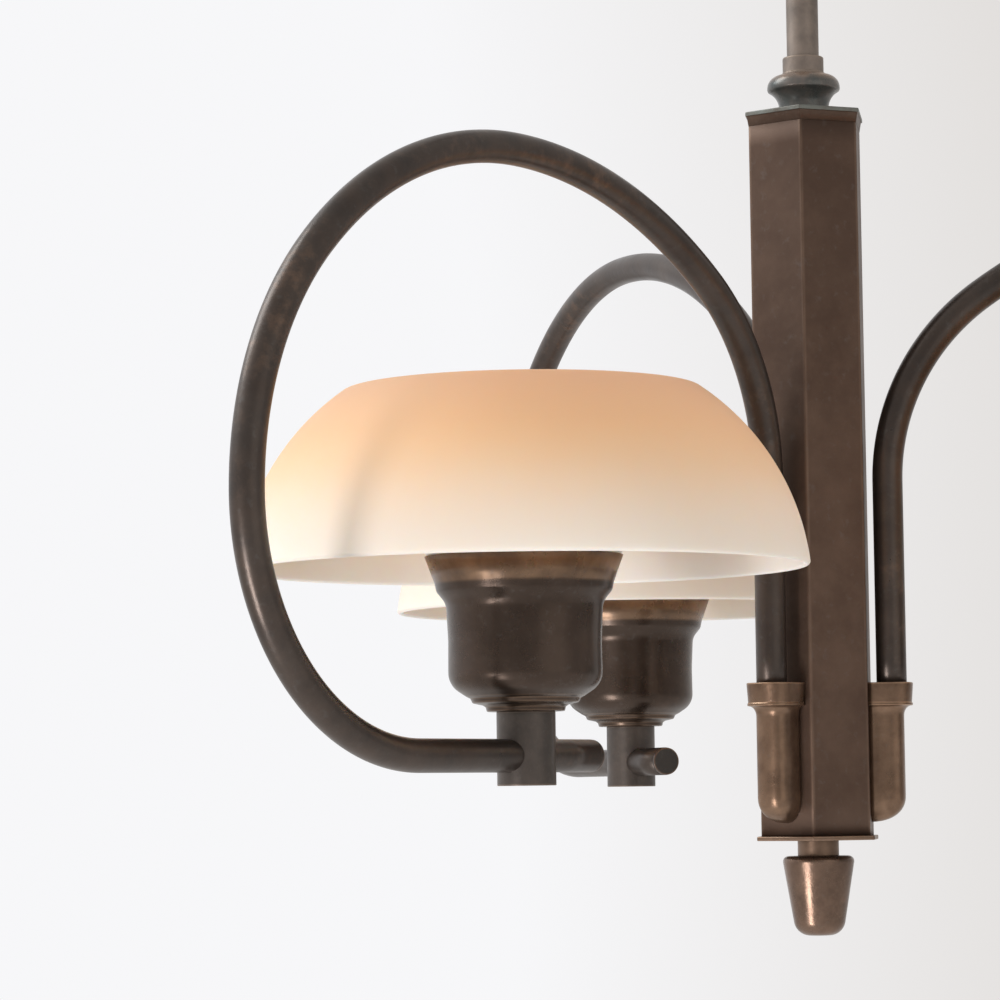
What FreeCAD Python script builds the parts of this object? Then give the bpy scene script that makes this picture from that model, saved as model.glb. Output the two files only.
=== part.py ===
"""Three-arm hanging lamp: a six-sided brass column on a drop rod, three looped arms and folded glass shades.

Millimetres, +Z up. The origin is the centre of the hole in the hanging eye, and arm a points along +X.
"""
import FreeCAD, Part
import math
import os
from FreeCAD import Vector

# ---- Driving dimensions -------------------------------------------------------------------------

# Clearances.
FIT = 0.05                 # soldered and screwed joints, on the radius
RUNNING = 0.3              # between pieces that move past each other
WEB = 0.4                  # least stock left beside a hole
NOTHING = 0.001            # a run shorter than this is left out

# Hanging eye, at the top of the lamp.
EYE_HOLE_RADIUS = 6.0
EYE_RADIUS = 11.0
EYE_THICKNESS = 4.0
EYE_STEM_LENGTH = 14.0     # inside the drop rod
EYE_DROP = 34.0            # from the eye's centre to the top of the drop rod
PIN_RADIUS = 1.5
PIN_DEPTH = 7.0            # cross pin below the rod's top end

# Drop rod.
ROD_RADIUS = 7.5
ROD_WALL = 1.0
ROD_LENGTH = 330.0
ROD_ENGAGEMENT = 16.0      # how far the rod passes the cap's top face
LEAD_HOLE_RADIUS = 3.8
LEAD_HOLE_DROP = 20.0      # below the rod's top end

# Canopy, clamped just under the eye while the lamp is hooked on. It slides up to the ceiling.
CANOPY_RADIUS = 55.0
CANOPY_WALL = 1.2
CANOPY_DROP = 12.0         # from the eye's centre down to the rim
CANOPY_HEIGHT = 90.0
CANOPY_BOW = 8.5           # of the bell's side, out from a straight line
CANOPY_COLLAR_RADIUS = 14.0
CANOPY_COLLAR_HEIGHT = 12.0
CANOPY_LIP = 5.0
GRUB_RADIUS = 2.0
GRUB_HEAD_RADIUS = 4.0
GRUB_HEAD_LENGTH = 6.0

# Terminal block beside the eye's tab.
BLOCK_WIDTH = 18.0
BLOCK_DEPTH = 14.0
BLOCK_HEIGHT = 16.0
BLOCK_SCREW_RADIUS = 1.8

# Six-sided column.
COLUMN_FLATS = 50.0        # across flats
COLUMN_HEIGHT = 335.0
COLUMN_WALL = 2.0
PLATE_THICKNESS = 2.0
CAP_OVERHANG = 1.4
BASE_OVERHANG = 2.0
CAP_SKIRT_HEIGHT = 4.6
CAP_SKIRT_EDGE = 0.5

# Turned knob and sleeve on the cap.
KNOB_FOOT_RADIUS = 11.6
KNOB_RADIUS = 17.0
KNOB_WAIST_HEIGHT = 3.0
KNOB_FLARE_HEIGHT = 11.5
KNOB_FLARE_BOW = 1.4       # hollow of the flare
KNOB_BROW_HEIGHT = 13.3
KNOB_BROW_BOW = 1.9
KNOB_HEIGHT = 18.6
KNOB_TOP_RADIUS = 10.6
SLEEVE_RADIUS = 9.6
SLEEVE_HEIGHT = 8.8
SLEEVE_BEAD = 0.7

# Tie rod through the column, with its nuts.
TIE_RADIUS = 5.0
TIE_BORE = 3.6
TIE_SLOT_WIDTH = 5.0
TIE_SLOT_LENGTH = 26.0
COUPLER_LENGTH = 20.0
NUT_FLATS = 17.0
NUT_HEIGHT = 5.0
ROD_NUT_FLATS = 26.0
ROD_NUT_HEIGHT = 6.0

# Finial under the column.
NECK_RADIUS = 9.5
NECK_HEIGHT = 7.2
FINIAL_RADIUS = 16.6
FINIAL_TIP_RADIUS = 10.6
FINIAL_HEIGHT = 36.6
FINIAL_SHOULDER = 2.4
FINIAL_TIP_ROUND = 6.0
FINIAL_THREAD = 16.0

# Arms: plain tube bent in one plane, up the leg, over the crest, down and back along the low run.
ARM_COUNT = 3
ARM_RADIUS = 7.0
ARM_WALL = 1.0
ARM_AXIS_OUT = 10.4        # axis of the upright leg, out from the column's face
TEE_AXIS_HEIGHT = 36.8     # of the low run, above the column's foot
STUB_LENGTH = 43.6         # beyond the tee's axis, without its plug
ARM_REACH = 217.0          # column axis to tee axis
LEG_BEND = 105.0           # centreline radii of the five bends
CREST_IN_BEND = 240.0
CREST_OUT_BEND = 182.0
SHOULDER_BEND = 142.0
RETURN_BEND = 102.0
LEG_TURN = 55.0            # degrees; the next bend makes it up to a right angle
CREST_OUT_TURN = 46.0      # degrees; the next bend makes it up to a right angle
PLUG_THICKNESS = 2.0
PLUG_DEPTH = 6.0

# Cast sockets on alternate faces of the column.
SOCKET_HALF_WIDTH = 8.1
SOCKET_FRONT = 15.8        # out from the column's face
SOCKET_BOTTOM = 6.1        # above the column's foot
SOCKET_ROUND = 14.3
SOCKET_TOP = 59.6
COLLAR_HALF_WIDTH = 11.4
COLLAR_FRONT = 20.2
COLLAR_HEIGHT = 10.6
COLLAR_BEAD = 1.2
COLLAR_COVE = 3.2
COVE_STEPS = 3
PASSAGE_RADIUS = 4.2
PASSAGE_HEIGHT = 28.0      # of the lead's way into the column, above the column's foot
COLUMN_HOLE_RADIUS = 6.0   # behind the socket

# Tees.
TEE_RADIUS = 12.4
TEE_BELOW = 12.5
TEE_ABOVE = 18.5
NIPPLE_RADIUS = 5.0
NIPPLE_BORE = 3.2
NIPPLE_IN_TEE = 8.0
NIPPLE_ABOVE_FLOOR = 7.0

# Spun cups, measured up from the tee's top face.
CUP_WALL = 1.2
CUP_FOOT_RADIUS = 16.4
CUP_FOOT_HEIGHT = 1.8
CUP_STEP_RADIUS = 22.8
CUP_STEP_HEIGHT = 5.2
CUP_TURN_RADIUS = 24.8
CUP_BODY_RADIUS = 32.0
CUP_BODY_HEIGHT = 19.0     # where the rounded bottom meets the wall
CUP_BOTTOM_BOW = 2.0
CUP_NECK_RADIUS = 33.0
CUP_NECK_HEIGHT = 43.5
CUP_THROAT_BOW = 0.9       # hollow between body and band
CUP_BAND_RADIUS = 37.9
CUP_BAND_HEIGHT = 53.8
CUP_LIP_RADIUS = 41.8
CUP_HEIGHT = 65.2
CUP_FLOOR = 3.2

# Lampholders, measured up from the cup's floor.
HOLDER_BOSS_RADIUS = 8.5
HOLDER_BOSS_HEIGHT = 4.0
HOLDER_RADIUS = 19.0
HOLDER_SHOULDER_HEIGHT = 10.0
HOLDER_HEIGHT = 46.0
HOLDER_FLOOR = 13.5
INSERT_WALL = 1.4
INSERT_FLOOR = 2.0

# Bulbs.
BULB_CAP_RADIUS = 13.2
BULB_CAP_HEIGHT = 25.0
BULB_TIP_RADIUS = 4.0
BULB_TIP_HEIGHT = 2.0
BULB_RADIUS = 27.5
BULB_NECK_RADIUS = 12.4
BULB_LENGTH = 98.0
BULB_GLASS = 0.9
BULB_LEAVE = 38.0          # degrees below the ball's middle, where the neck begins

# Folded glass shades.
GLASS = 3.0
RIM_RADIUS = 120.0
RIM_DROP = 4.0             # below the cup's lip
RIM_LEAN = 6.8             # degrees that the skirt leans in at the rim
SKIRT_RADIUS = 105.0
FOLD_LEAN = 55.0           # degrees that the skirt leans in at the fold
FOLD_RADIUS = 6.0
FUNNEL_LEAN = 60.0
FUNNEL_LENGTH = 8.8

# Leads.
LEAD_RADIUS = 1.6
SUPPLY_RADIUS = 1.9
LEAD_BEND = 8.0
LEAD_SLANT = 30.0          # degrees, where an arm lead crosses to the column's wall
SUPPLY_BEND = 5.0
CONNECTOR_HEIGHT = 190.0   # of the connector's underside, above the column's foot
CONNECTOR_LENGTH = 24.0
CONNECTOR_RADIUS = 11.6
LEAD_GAP = 1.0             # between the leads and the column's inner face

# ---- Places that follow from the dimensions -----------------------------------------------------

ROD_TOP = -EYE_DROP
CANOPY_TOP = -CANOPY_DROP
CAP_TOP = ROD_TOP - ROD_LENGTH + ROD_ENGAGEMENT
COLUMN_TOP = CAP_TOP - PLATE_THICKNESS
FOOT = COLUMN_TOP - COLUMN_HEIGHT
ROD_BOTTOM = ROD_TOP - ROD_LENGTH
ROD_BORE = ROD_RADIUS - ROD_WALL
KNOB_TOP = CAP_TOP + KNOB_HEIGHT
SLEEVE_TOP = KNOB_TOP + SLEEVE_HEIGHT

FACE = COLUMN_FLATS / 2
INNER_FACE = FACE - COLUMN_WALL
LEG_X = FACE + ARM_AXIS_OUT
TEE_AXIS = FOOT + TEE_AXIS_HEIGHT
SOCKET_SEAT = FOOT + SOCKET_TOP
COLLAR_TOP = SOCKET_SEAT + COLLAR_HEIGHT
PASSAGE_Z = FOOT + PASSAGE_HEIGHT
TEE_TOP = TEE_AXIS + TEE_ABOVE
CUP_LIP = TEE_TOP + CUP_HEIGHT
CUP_INSIDE = TEE_TOP + CUP_FLOOR
HOLDER_TOP = CUP_INSIDE + HOLDER_HEIGHT
INSERT_BOTTOM = CUP_INSIDE + HOLDER_FLOOR
INSERT_RADIUS = BULB_CAP_RADIUS + RUNNING + INSERT_WALL
BULB_BOTTOM = INSERT_BOTTOM + INSERT_FLOOR + RUNNING
ARM_NAMES = "abcdefgh"[:ARM_COUNT]


BENDS = ((LEG_BEND, LEG_TURN), (CREST_IN_BEND, 90 - LEG_TURN), (CREST_OUT_BEND, CREST_OUT_TURN),
         (SHOULDER_BEND, 90 - CREST_OUT_TURN), (RETURN_BEND, 90))


def drop_of(radius, start, end):
    """Height between two places on a bend, where its centreline leans down by these degrees."""
    return radius * (math.cos(math.radians(start)) - math.cos(math.radians(end)))


CREST = (TEE_AXIS + drop_of(CREST_OUT_BEND, 0, CREST_OUT_TURN) + drop_of(SHOULDER_BEND, CREST_OUT_TURN, 90)
         + RETURN_BEND)
LEG_TOP = CREST - drop_of(CREST_IN_BEND, 0, 90 - LEG_TURN) - drop_of(LEG_BEND, 90 - LEG_TURN, 90)


# ---- Tools --------------------------------------------------------------------------------------

def turned(start, *steps):
    """Solid of revolution about Z. A step is a point (r, z), or a pair (mid, end) for an arc."""
    here = start
    edges = []
    for step in steps + (start,):
        arc = isinstance(step[0], tuple)
        end = step[1] if arc else step
        if arc:
            edges.append(Part.Arc(at(here), at(step[0]), at(end)).toShape())
        elif end != here:
            edges.append(Part.LineSegment(at(here), at(end)).toShape())
        here = end
    face = Part.Face(Part.Wire(edges))
    return face.revolve(Vector(0, 0, 0), Vector(0, 0, 1), 360)


def at(point):
    return Vector(point[0], 0, point[1])


def on_circle(centre, radius, degrees):
    """The point at an angle on a circle in the r-z plane, with 0 pointing outward and 90 up."""
    turn = math.radians(degrees)
    return (centre[0] + radius * math.cos(turn), centre[1] + radius * math.sin(turn))


def bowed(start, end, bow):
    """A step along an arc, whose middle lies this far to the right of the straight line."""
    along = (at(end) - at(start)).normalize()
    middle = ((start[0] + end[0]) / 2 + along.z * bow, (start[1] + end[1]) / 2 - along.x * bow)
    return middle, end


def corner(before, point, after, radius):
    """Ends and middle of the round that replaces a corner of an outline."""
    a = (at(before) - at(point)).normalize()
    b = (at(after) - at(point)).normalize()
    half = a.getAngle(b) / 2
    reach = radius / math.tan(half)
    towards = (a + b).normalize()
    middle = at(point) + towards * (radius / math.sin(half) - radius)
    first = at(point) + a * reach
    last = at(point) + b * reach
    return (first.x, first.z), (middle.x, middle.z), (last.x, last.z)


def cylinder(radius, low, high, x=0.0):
    return Part.makeCylinder(radius, high - low, Vector(x, 0, low))


def pipe(outer, inner, low, high):
    return cylinder(outer, low, high).cut(cylinder(inner, low, high))


def hexagon(flats, z):
    """Closed outline with two of its sides facing along X."""
    radius = flats / 2 / math.cos(math.radians(30))
    points = []
    for k in range(7):
        turn = math.radians(30 + 60 * k)
        points.append(Vector(radius * math.cos(turn), radius * math.sin(turn), z))
    return Part.makePolygon(points)


def hex_bar(flats, low, high):
    return Part.Face(hexagon(flats, low)).extrude(Vector(0, 0, high - low))


def hex_taper(low_flats, high_flats, low, high):
    return Part.makeLoft([hexagon(low_flats, low), hexagon(high_flats, high)], True)


def cross_bore(radius, z, start, end):
    """Cylinder along X between two places."""
    return Part.makeCylinder(radius, end - start, Vector(start, 0, z), Vector(1, 0, 0))


def across_y(radius, length, x, y, z):
    """Cylinder along Y."""
    return Part.makeCylinder(radius, length, Vector(x, y, z), Vector(0, 1, 0))


class Route:
    """Centreline of a bent tube or lead in the X-Z plane: straight runs and tangent bends."""

    def __init__(self, x, z, heading):
        self.place = Vector(x, 0, z)
        self.heading = heading
        self.edges = []

    def direction(self, turn=0.0):
        angle = math.radians(self.heading + turn)
        return Vector(math.cos(angle), 0, math.sin(angle))

    def run(self, length):
        if length < NOTHING:
            return self
        end = self.place + self.direction() * length
        self.edges.append(Part.LineSegment(self.place, end).toShape())
        self.place = end
        return self

    def bend(self, radius, angle):
        """Turn by an angle in degrees, positive from +X towards +Z."""
        side = 90 if angle > 0 else -90
        centre = self.place + self.direction(side) * radius
        middle = centre - self.direction(side + angle / 2) * radius
        end = centre - self.direction(side + angle) * radius
        self.edges.append(Part.Arc(self.place, middle, end).toShape())
        self.heading += angle
        self.place = end
        return self

    def solid(self, radius):
        first = self.edges[0]
        start = first.valueAt(first.FirstParameter)
        along = first.tangentAt(first.FirstParameter)
        circle = Part.Wire(Part.makeCircle(radius, start, along))
        return Part.Wire(self.edges).makePipeShell([circle], True)


def at_arm(shape, index):
    """A piece drawn on the +X arm, turned to the arm with this index."""
    copy = shape.copy()
    copy.rotate(Vector(0, 0, 0), Vector(0, 0, 1), 360 / ARM_COUNT * index)
    return copy


def at_tee(shape):
    """A piece drawn about the Z axis, moved out to the tee of the +X arm."""
    copy = shape.copy()
    copy.translate(Vector(ARM_REACH, 0, 0))
    return copy


# ---- Top fittings -------------------------------------------------------------------------------

def hanging_eye():
    """Flat tab with a hole for the ceiling hook, and a round stem in the top of the rod."""
    disc = across_y(EYE_RADIUS, EYE_THICKNESS, 0, -EYE_THICKNESS / 2, 0)
    width = 2 * ROD_BORE
    tab = Part.makeBox(width, EYE_THICKNESS, EYE_DROP, Vector(-width / 2, -EYE_THICKNESS / 2, ROD_TOP))
    shoulder = cylinder(ROD_RADIUS, ROD_TOP, ROD_TOP + PLATE_THICKNESS)
    stem = cylinder(ROD_BORE - FIT, ROD_TOP - EYE_STEM_LENGTH, ROD_TOP)
    hole = across_y(EYE_HOLE_RADIUS, EYE_THICKNESS, 0, -EYE_THICKNESS / 2, 0)
    pin_hole = cross_bore(PIN_RADIUS + FIT, ROD_TOP - PIN_DEPTH, -ROD_RADIUS, ROD_RADIUS)
    return disc.fuse([tab, shoulder, stem]).cut([hole, pin_hole]).removeSplitter()


def eye_pin():
    return cross_bore(PIN_RADIUS, ROD_TOP - PIN_DEPTH, -ROD_RADIUS, ROD_RADIUS)


def drop_rod():
    rod = pipe(ROD_RADIUS, ROD_BORE, ROD_BOTTOM, ROD_TOP)
    pin_hole = cross_bore(PIN_RADIUS + FIT, ROD_TOP - PIN_DEPTH, -ROD_RADIUS, ROD_RADIUS)
    lead_hole = across_y(LEAD_HOLE_RADIUS, ROD_RADIUS, 0, 0, ROD_TOP - LEAD_HOLE_DROP)
    return rod.cut([pin_hole, lead_hole])


def canopy():
    """Spun bell that covers the hook: open at the ceiling, with a collar round the rod."""
    bottom = CANOPY_TOP - CANOPY_HEIGHT
    bore = ROD_RADIUS + RUNNING
    collar_top = bottom + CANOPY_COLLAR_HEIGHT
    lip = CANOPY_TOP - CANOPY_LIP
    wall = CANOPY_WALL
    outside = (CANOPY_COLLAR_RADIUS, collar_top), (CANOPY_RADIUS, lip)
    inside = (CANOPY_RADIUS - wall, lip), (CANOPY_COLLAR_RADIUS, collar_top + 2 * wall)
    bell = turned((bore, bottom), (CANOPY_COLLAR_RADIUS, bottom), outside[0], bowed(*outside, CANOPY_BOW),
                  (CANOPY_RADIUS, CANOPY_TOP), (CANOPY_RADIUS - wall, CANOPY_TOP), inside[0],
                  bowed(*inside, wall / 2 - CANOPY_BOW), (bore, collar_top + 2 * wall))
    grub_z = bottom + CANOPY_COLLAR_HEIGHT / 2
    return bell.cut(cross_bore(GRUB_RADIUS + FIT, grub_z, 0, CANOPY_COLLAR_RADIUS + wall))


def canopy_grub_screw():
    """Knurled screw that clamps the canopy on the rod."""
    grub_z = CANOPY_TOP - CANOPY_HEIGHT + CANOPY_COLLAR_HEIGHT / 2
    head_start = CANOPY_COLLAR_RADIUS + RUNNING
    shank = cross_bore(GRUB_RADIUS, grub_z, ROD_RADIUS + RUNNING, head_start)
    head = cross_bore(GRUB_HEAD_RADIUS, grub_z, head_start, head_start + GRUB_HEAD_LENGTH)
    return shank.fuse(head).removeSplitter()


def terminal_block():
    """Two-way connector against the flat of the eye's tab."""
    low = ROD_TOP + PLATE_THICKNESS
    face = EYE_THICKNESS / 2
    block = Part.makeBox(BLOCK_WIDTH, BLOCK_DEPTH, BLOCK_HEIGHT, Vector(-BLOCK_WIDTH / 2, face, low))
    screws = []
    for side in (-1, 1):
        screws.append(across_y(BLOCK_SCREW_RADIUS, BLOCK_DEPTH / 2, side * BLOCK_WIDTH / 4,
                               face + BLOCK_DEPTH / 2, low + BLOCK_HEIGHT / 2))
    return block.cut(screws)


def supply_lead():
    """From the terminal block, in through the side of the rod and down to the connector."""
    inlet = ROD_TOP - LEAD_HOLE_DROP
    outside = ROD_RADIUS + RUNNING + SUPPLY_RADIUS
    start = ROD_TOP + PLATE_THICKNESS
    end = FOOT + CONNECTOR_HEIGHT + CONNECTOR_LENGTH
    route = Route(outside, start, -90)
    route.run(start - inlet - SUPPLY_BEND).bend(SUPPLY_BEND, -90)
    route.run(outside - 2 * SUPPLY_BEND).bend(SUPPLY_BEND, 90)
    route.run(inlet - SUPPLY_BEND - end)
    lead = route.solid(SUPPLY_RADIUS)
    lead.rotate(Vector(0, 0, 0), Vector(0, 0, 1), 90)
    return lead


# ---- Column -------------------------------------------------------------------------------------

def column_tube():
    tube = hex_bar(COLUMN_FLATS, FOOT, COLUMN_TOP)
    tube = tube.cut(hex_bar(COLUMN_FLATS - 2 * COLUMN_WALL, FOOT, COLUMN_TOP))
    way = cross_bore(COLUMN_HOLE_RADIUS, PASSAGE_Z, INNER_FACE - COLUMN_WALL, FACE + COLUMN_WALL)
    return tube.cut([at_arm(way, k) for k in range(ARM_COUNT)])


def column_cap():
    """Top plate with a short sloping skirt that hugs the column."""
    wide = COLUMN_FLATS + 2 * CAP_OVERHANG
    skirt = hex_taper(COLUMN_FLATS + 2 * CAP_SKIRT_EDGE, wide - CAP_SKIRT_EDGE,
                      COLUMN_TOP - CAP_SKIRT_HEIGHT, COLUMN_TOP)
    skirt = skirt.cut(hex_bar(COLUMN_FLATS + 2 * FIT, COLUMN_TOP - CAP_SKIRT_HEIGHT, COLUMN_TOP))
    plate = hex_bar(wide, COLUMN_TOP, CAP_TOP)
    bore = cylinder(ROD_RADIUS + FIT, COLUMN_TOP, CAP_TOP)
    return plate.fuse(skirt).cut(bore)


def column_base():
    plate = hex_bar(COLUMN_FLATS + 2 * BASE_OVERHANG, FOOT - PLATE_THICKNESS, FOOT)
    return plate.cut(cylinder(TIE_RADIUS + FIT, FOOT - PLATE_THICKNESS, FOOT))


def top_knob():
    """Turned flange, narrow at the cap, widest near its top and rounded over to the sleeve."""
    bore = ROD_RADIUS + FIT
    waist = (KNOB_FOOT_RADIUS, CAP_TOP + KNOB_WAIST_HEIGHT)
    flare = (KNOB_RADIUS, CAP_TOP + KNOB_FLARE_HEIGHT)
    brow = (KNOB_RADIUS, CAP_TOP + KNOB_BROW_HEIGHT)
    return turned((bore, CAP_TOP), (KNOB_FOOT_RADIUS, CAP_TOP), waist, bowed(waist, flare, -KNOB_FLARE_BOW),
                  brow, bowed(brow, (KNOB_TOP_RADIUS, KNOB_TOP), KNOB_BROW_BOW), (bore, KNOB_TOP))


def rod_sleeve():
    """Short sleeve over the rod, with a bead at its foot."""
    bore = ROD_RADIUS + FIT
    bead = KNOB_TOP + 2 * SLEEVE_BEAD
    bead_mid = (SLEEVE_RADIUS + SLEEVE_BEAD, KNOB_TOP + SLEEVE_BEAD)
    edge = SLEEVE_TOP - SLEEVE_BEAD
    return turned((bore, KNOB_TOP), (SLEEVE_RADIUS, KNOB_TOP), (bead_mid, (SLEEVE_RADIUS, bead)),
                  (SLEEVE_RADIUS, edge), (SLEEVE_RADIUS - SLEEVE_BEAD, SLEEVE_TOP), (bore, SLEEVE_TOP))


def rod_nut():
    """Large nut on the rod's threaded end, up against the cap."""
    nut = hex_bar(ROD_NUT_FLATS, COLUMN_TOP - ROD_NUT_HEIGHT, COLUMN_TOP)
    return nut.cut(cylinder(ROD_RADIUS + FIT, COLUMN_TOP - ROD_NUT_HEIGHT, COLUMN_TOP))


def rod_coupler():
    """Reducer in the foot of the rod that holds the tie rod."""
    return pipe(ROD_BORE - FIT, TIE_RADIUS + FIT, ROD_BOTTOM, ROD_BOTTOM + COUPLER_LENGTH)


def tie_rod():
    """Threaded tube that pulls the base against the column, with a slot where the lead leaves it."""
    low = FOOT - PLATE_THICKNESS - NECK_HEIGHT - FINIAL_THREAD
    tube = pipe(TIE_RADIUS, TIE_BORE, low, ROD_BOTTOM + COUPLER_LENGTH)
    middle = FOOT + CONNECTOR_HEIGHT + CONNECTOR_LENGTH / 2
    slots = []
    for k in range(ARM_COUNT):
        slot = Part.makeBox(2 * TIE_RADIUS, TIE_SLOT_WIDTH, TIE_SLOT_LENGTH,
                            Vector(0, -TIE_SLOT_WIDTH / 2, middle - TIE_SLOT_LENGTH / 2))
        slots.append(at_arm(slot, k))
    return tube.cut(slots)


def tie_nuts():
    """Nut inside the base plate, and one below the coupler."""
    base = hex_bar(NUT_FLATS, FOOT, FOOT + NUT_HEIGHT)
    lock = hex_bar(NUT_FLATS, ROD_BOTTOM - NUT_HEIGHT, ROD_BOTTOM)
    hole = cylinder(TIE_RADIUS + FIT, FOOT, ROD_BOTTOM)
    return Part.makeCompound([base.cut(hole), lock.cut(hole)])


def column_connector():
    """Porcelain ring connector on the tie rod, where the three arm leads join the supply."""
    low = FOOT + CONNECTOR_HEIGHT
    ring = pipe(CONNECTOR_RADIUS, TIE_RADIUS + FIT, low, low + CONNECTOR_LENGTH)
    floor = TIE_RADIUS + FIT + WEB + BLOCK_SCREW_RADIUS
    hole = cross_bore(BLOCK_SCREW_RADIUS, low + CONNECTOR_LENGTH / 2, floor, CONNECTOR_RADIUS + FIT)
    return ring.cut([at_arm(hole, k + 0.5) for k in range(ARM_COUNT)])


def finial_neck():
    low = FOOT - PLATE_THICKNESS - NECK_HEIGHT
    return pipe(NECK_RADIUS, TIE_RADIUS + FIT, low, FOOT - PLATE_THICKNESS)


def finial():
    """Acorn-like nut: a rounded shoulder, a straight taper and a rounded tip."""
    top = FOOT - PLATE_THICKNESS - NECK_HEIGHT
    bottom = top - FINIAL_HEIGHT
    shoulder = corner((0, top), (FINIAL_RADIUS, top), (FINIAL_TIP_RADIUS, bottom), FINIAL_SHOULDER)
    tip = corner((FINIAL_RADIUS, top), (FINIAL_TIP_RADIUS, bottom), (0, bottom), FINIAL_TIP_ROUND)
    body = turned((0, bottom), (0, top), shoulder[0], (shoulder[1], shoulder[2]), tip[0], (tip[1], tip[2]))
    return body.cut(cylinder(TIE_RADIUS + FIT, top - FINIAL_THREAD, top))


# ---- Arms ---------------------------------------------------------------------------------------

def arm_route(start, end_x):
    """The arm's centreline, from the upright leg over the crest and back along the low run."""
    route = Route(LEG_X, start, 90)
    route.run(LEG_TOP - start)
    for radius, turn in BENDS:
        route.bend(radius, -turn)
    return route.run(route.place.x - end_x)


def socket_outline(half_width, front, low, high):
    """Upright bar on the column's face: flat sides and a half-round front."""
    centre = FACE + front - half_width
    corners = [Vector(FACE, half_width, low), Vector(centre, half_width, low),
               Vector(centre, -half_width, low), Vector(FACE, -half_width, low)]
    nose = Part.Arc(corners[1], Vector(FACE + front, 0, low), corners[2])
    edges = [Part.LineSegment(corners[0], corners[1]), nose, Part.LineSegment(corners[2], corners[3]),
             Part.LineSegment(corners[3], corners[0])]
    outline = Part.Wire([edge.toShape() for edge in edges])
    return Part.Face(outline).extrude(Vector(0, 0, high - low))


def socket_side(z_low, z_high, front, round_radius):
    """Side view of the socket, with its lower front corner rounded off."""
    x = FACE + front
    middle = on_circle((x - round_radius, z_low + round_radius), round_radius, -45)
    edges = [Part.LineSegment(at((FACE, z_low)), at((x - round_radius, z_low))),
             Part.Arc(at((x - round_radius, z_low)), at(middle), at((x, z_low + round_radius))),
             Part.LineSegment(at((x, z_low + round_radius)), at((x, z_high))),
             Part.LineSegment(at((x, z_high)), at((FACE, z_high))),
             Part.LineSegment(at((FACE, z_high)), at((FACE, z_low)))]
    face = Part.Face(Part.Wire([edge.toShape() for edge in edges]))
    face.translate(Vector(0, -COLLAR_HALF_WIDTH, 0))
    return face.extrude(Vector(0, 2 * COLLAR_HALF_WIDTH, 0))


def collar():
    """Collar round the arm's foot, beaded at both edges, with a cove under it."""
    slim = COLLAR_BEAD / 2
    body = socket_outline(COLLAR_HALF_WIDTH - slim, COLLAR_FRONT - slim, SOCKET_SEAT, COLLAR_TOP)
    pieces = []
    for low in (SOCKET_SEAT, COLLAR_TOP - COLLAR_BEAD):
        pieces.append(socket_outline(COLLAR_HALF_WIDTH, COLLAR_FRONT, low, low + COLLAR_BEAD))
    for k in range(COVE_STEPS):
        share = (k + 1) / (COVE_STEPS + 1)
        half = SOCKET_HALF_WIDTH + (COLLAR_HALF_WIDTH - slim - SOCKET_HALF_WIDTH) * share ** 2
        front = SOCKET_FRONT + (COLLAR_FRONT - slim - SOCKET_FRONT) * share ** 2
        low = SOCKET_SEAT - COLLAR_COVE * (1 - k / COVE_STEPS)
        pieces.append(socket_outline(half, front, low, SOCKET_SEAT))
    return body.fuse(pieces)


def arm_socket():
    low = FOOT + SOCKET_BOTTOM
    body = socket_outline(SOCKET_HALF_WIDTH, SOCKET_FRONT, low, SOCKET_SEAT)
    body = body.common(socket_side(low, SOCKET_SEAT, SOCKET_FRONT, SOCKET_ROUND)).fuse(collar())
    seat = cylinder(ARM_RADIUS + FIT, SOCKET_SEAT, COLLAR_TOP, LEG_X)
    shaft = cylinder(PASSAGE_RADIUS, PASSAGE_Z, SOCKET_SEAT, LEG_X)
    elbow = Part.makeSphere(PASSAGE_RADIUS, Vector(LEG_X, 0, PASSAGE_Z))
    way = cross_bore(PASSAGE_RADIUS, PASSAGE_Z, FACE, LEG_X)
    return body.cut([seat, shaft, elbow, way]).removeSplitter()


def arm_tube():
    end = ARM_REACH - STUB_LENGTH
    route = arm_route(SOCKET_SEAT, end)
    tube = route.solid(ARM_RADIUS).cut(route.solid(ARM_RADIUS - ARM_WALL))
    return tube.cut(cylinder(NIPPLE_BORE, TEE_AXIS, TEE_TOP, ARM_REACH))


def end_plug():
    """Flat disc that closes the stub, with a spigot in the bore."""
    end = ARM_REACH - STUB_LENGTH
    disc = cross_bore(ARM_RADIUS, TEE_AXIS, end - PLUG_THICKNESS, end)
    return disc.fuse(cross_bore(ARM_RADIUS - ARM_WALL - FIT, TEE_AXIS, end, end + PLUG_DEPTH))


def tee():
    """Upright stem with the arm's low run through it."""
    stem = cylinder(TEE_RADIUS, TEE_AXIS - TEE_BELOW, TEE_TOP)
    run = cross_bore(ARM_RADIUS + FIT, TEE_AXIS, -TEE_RADIUS, TEE_RADIUS)
    thread = cylinder(NIPPLE_RADIUS + FIT, TEE_TOP - NIPPLE_IN_TEE, TEE_TOP)
    way = cylinder(NIPPLE_BORE, TEE_AXIS, TEE_TOP)
    return at_tee(stem.cut([run, thread, way]))


def nipple():
    return at_tee(pipe(NIPPLE_RADIUS, NIPPLE_BORE, TEE_TOP - NIPPLE_IN_TEE, CUP_INSIDE + NIPPLE_ABOVE_FLOOR))


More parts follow.
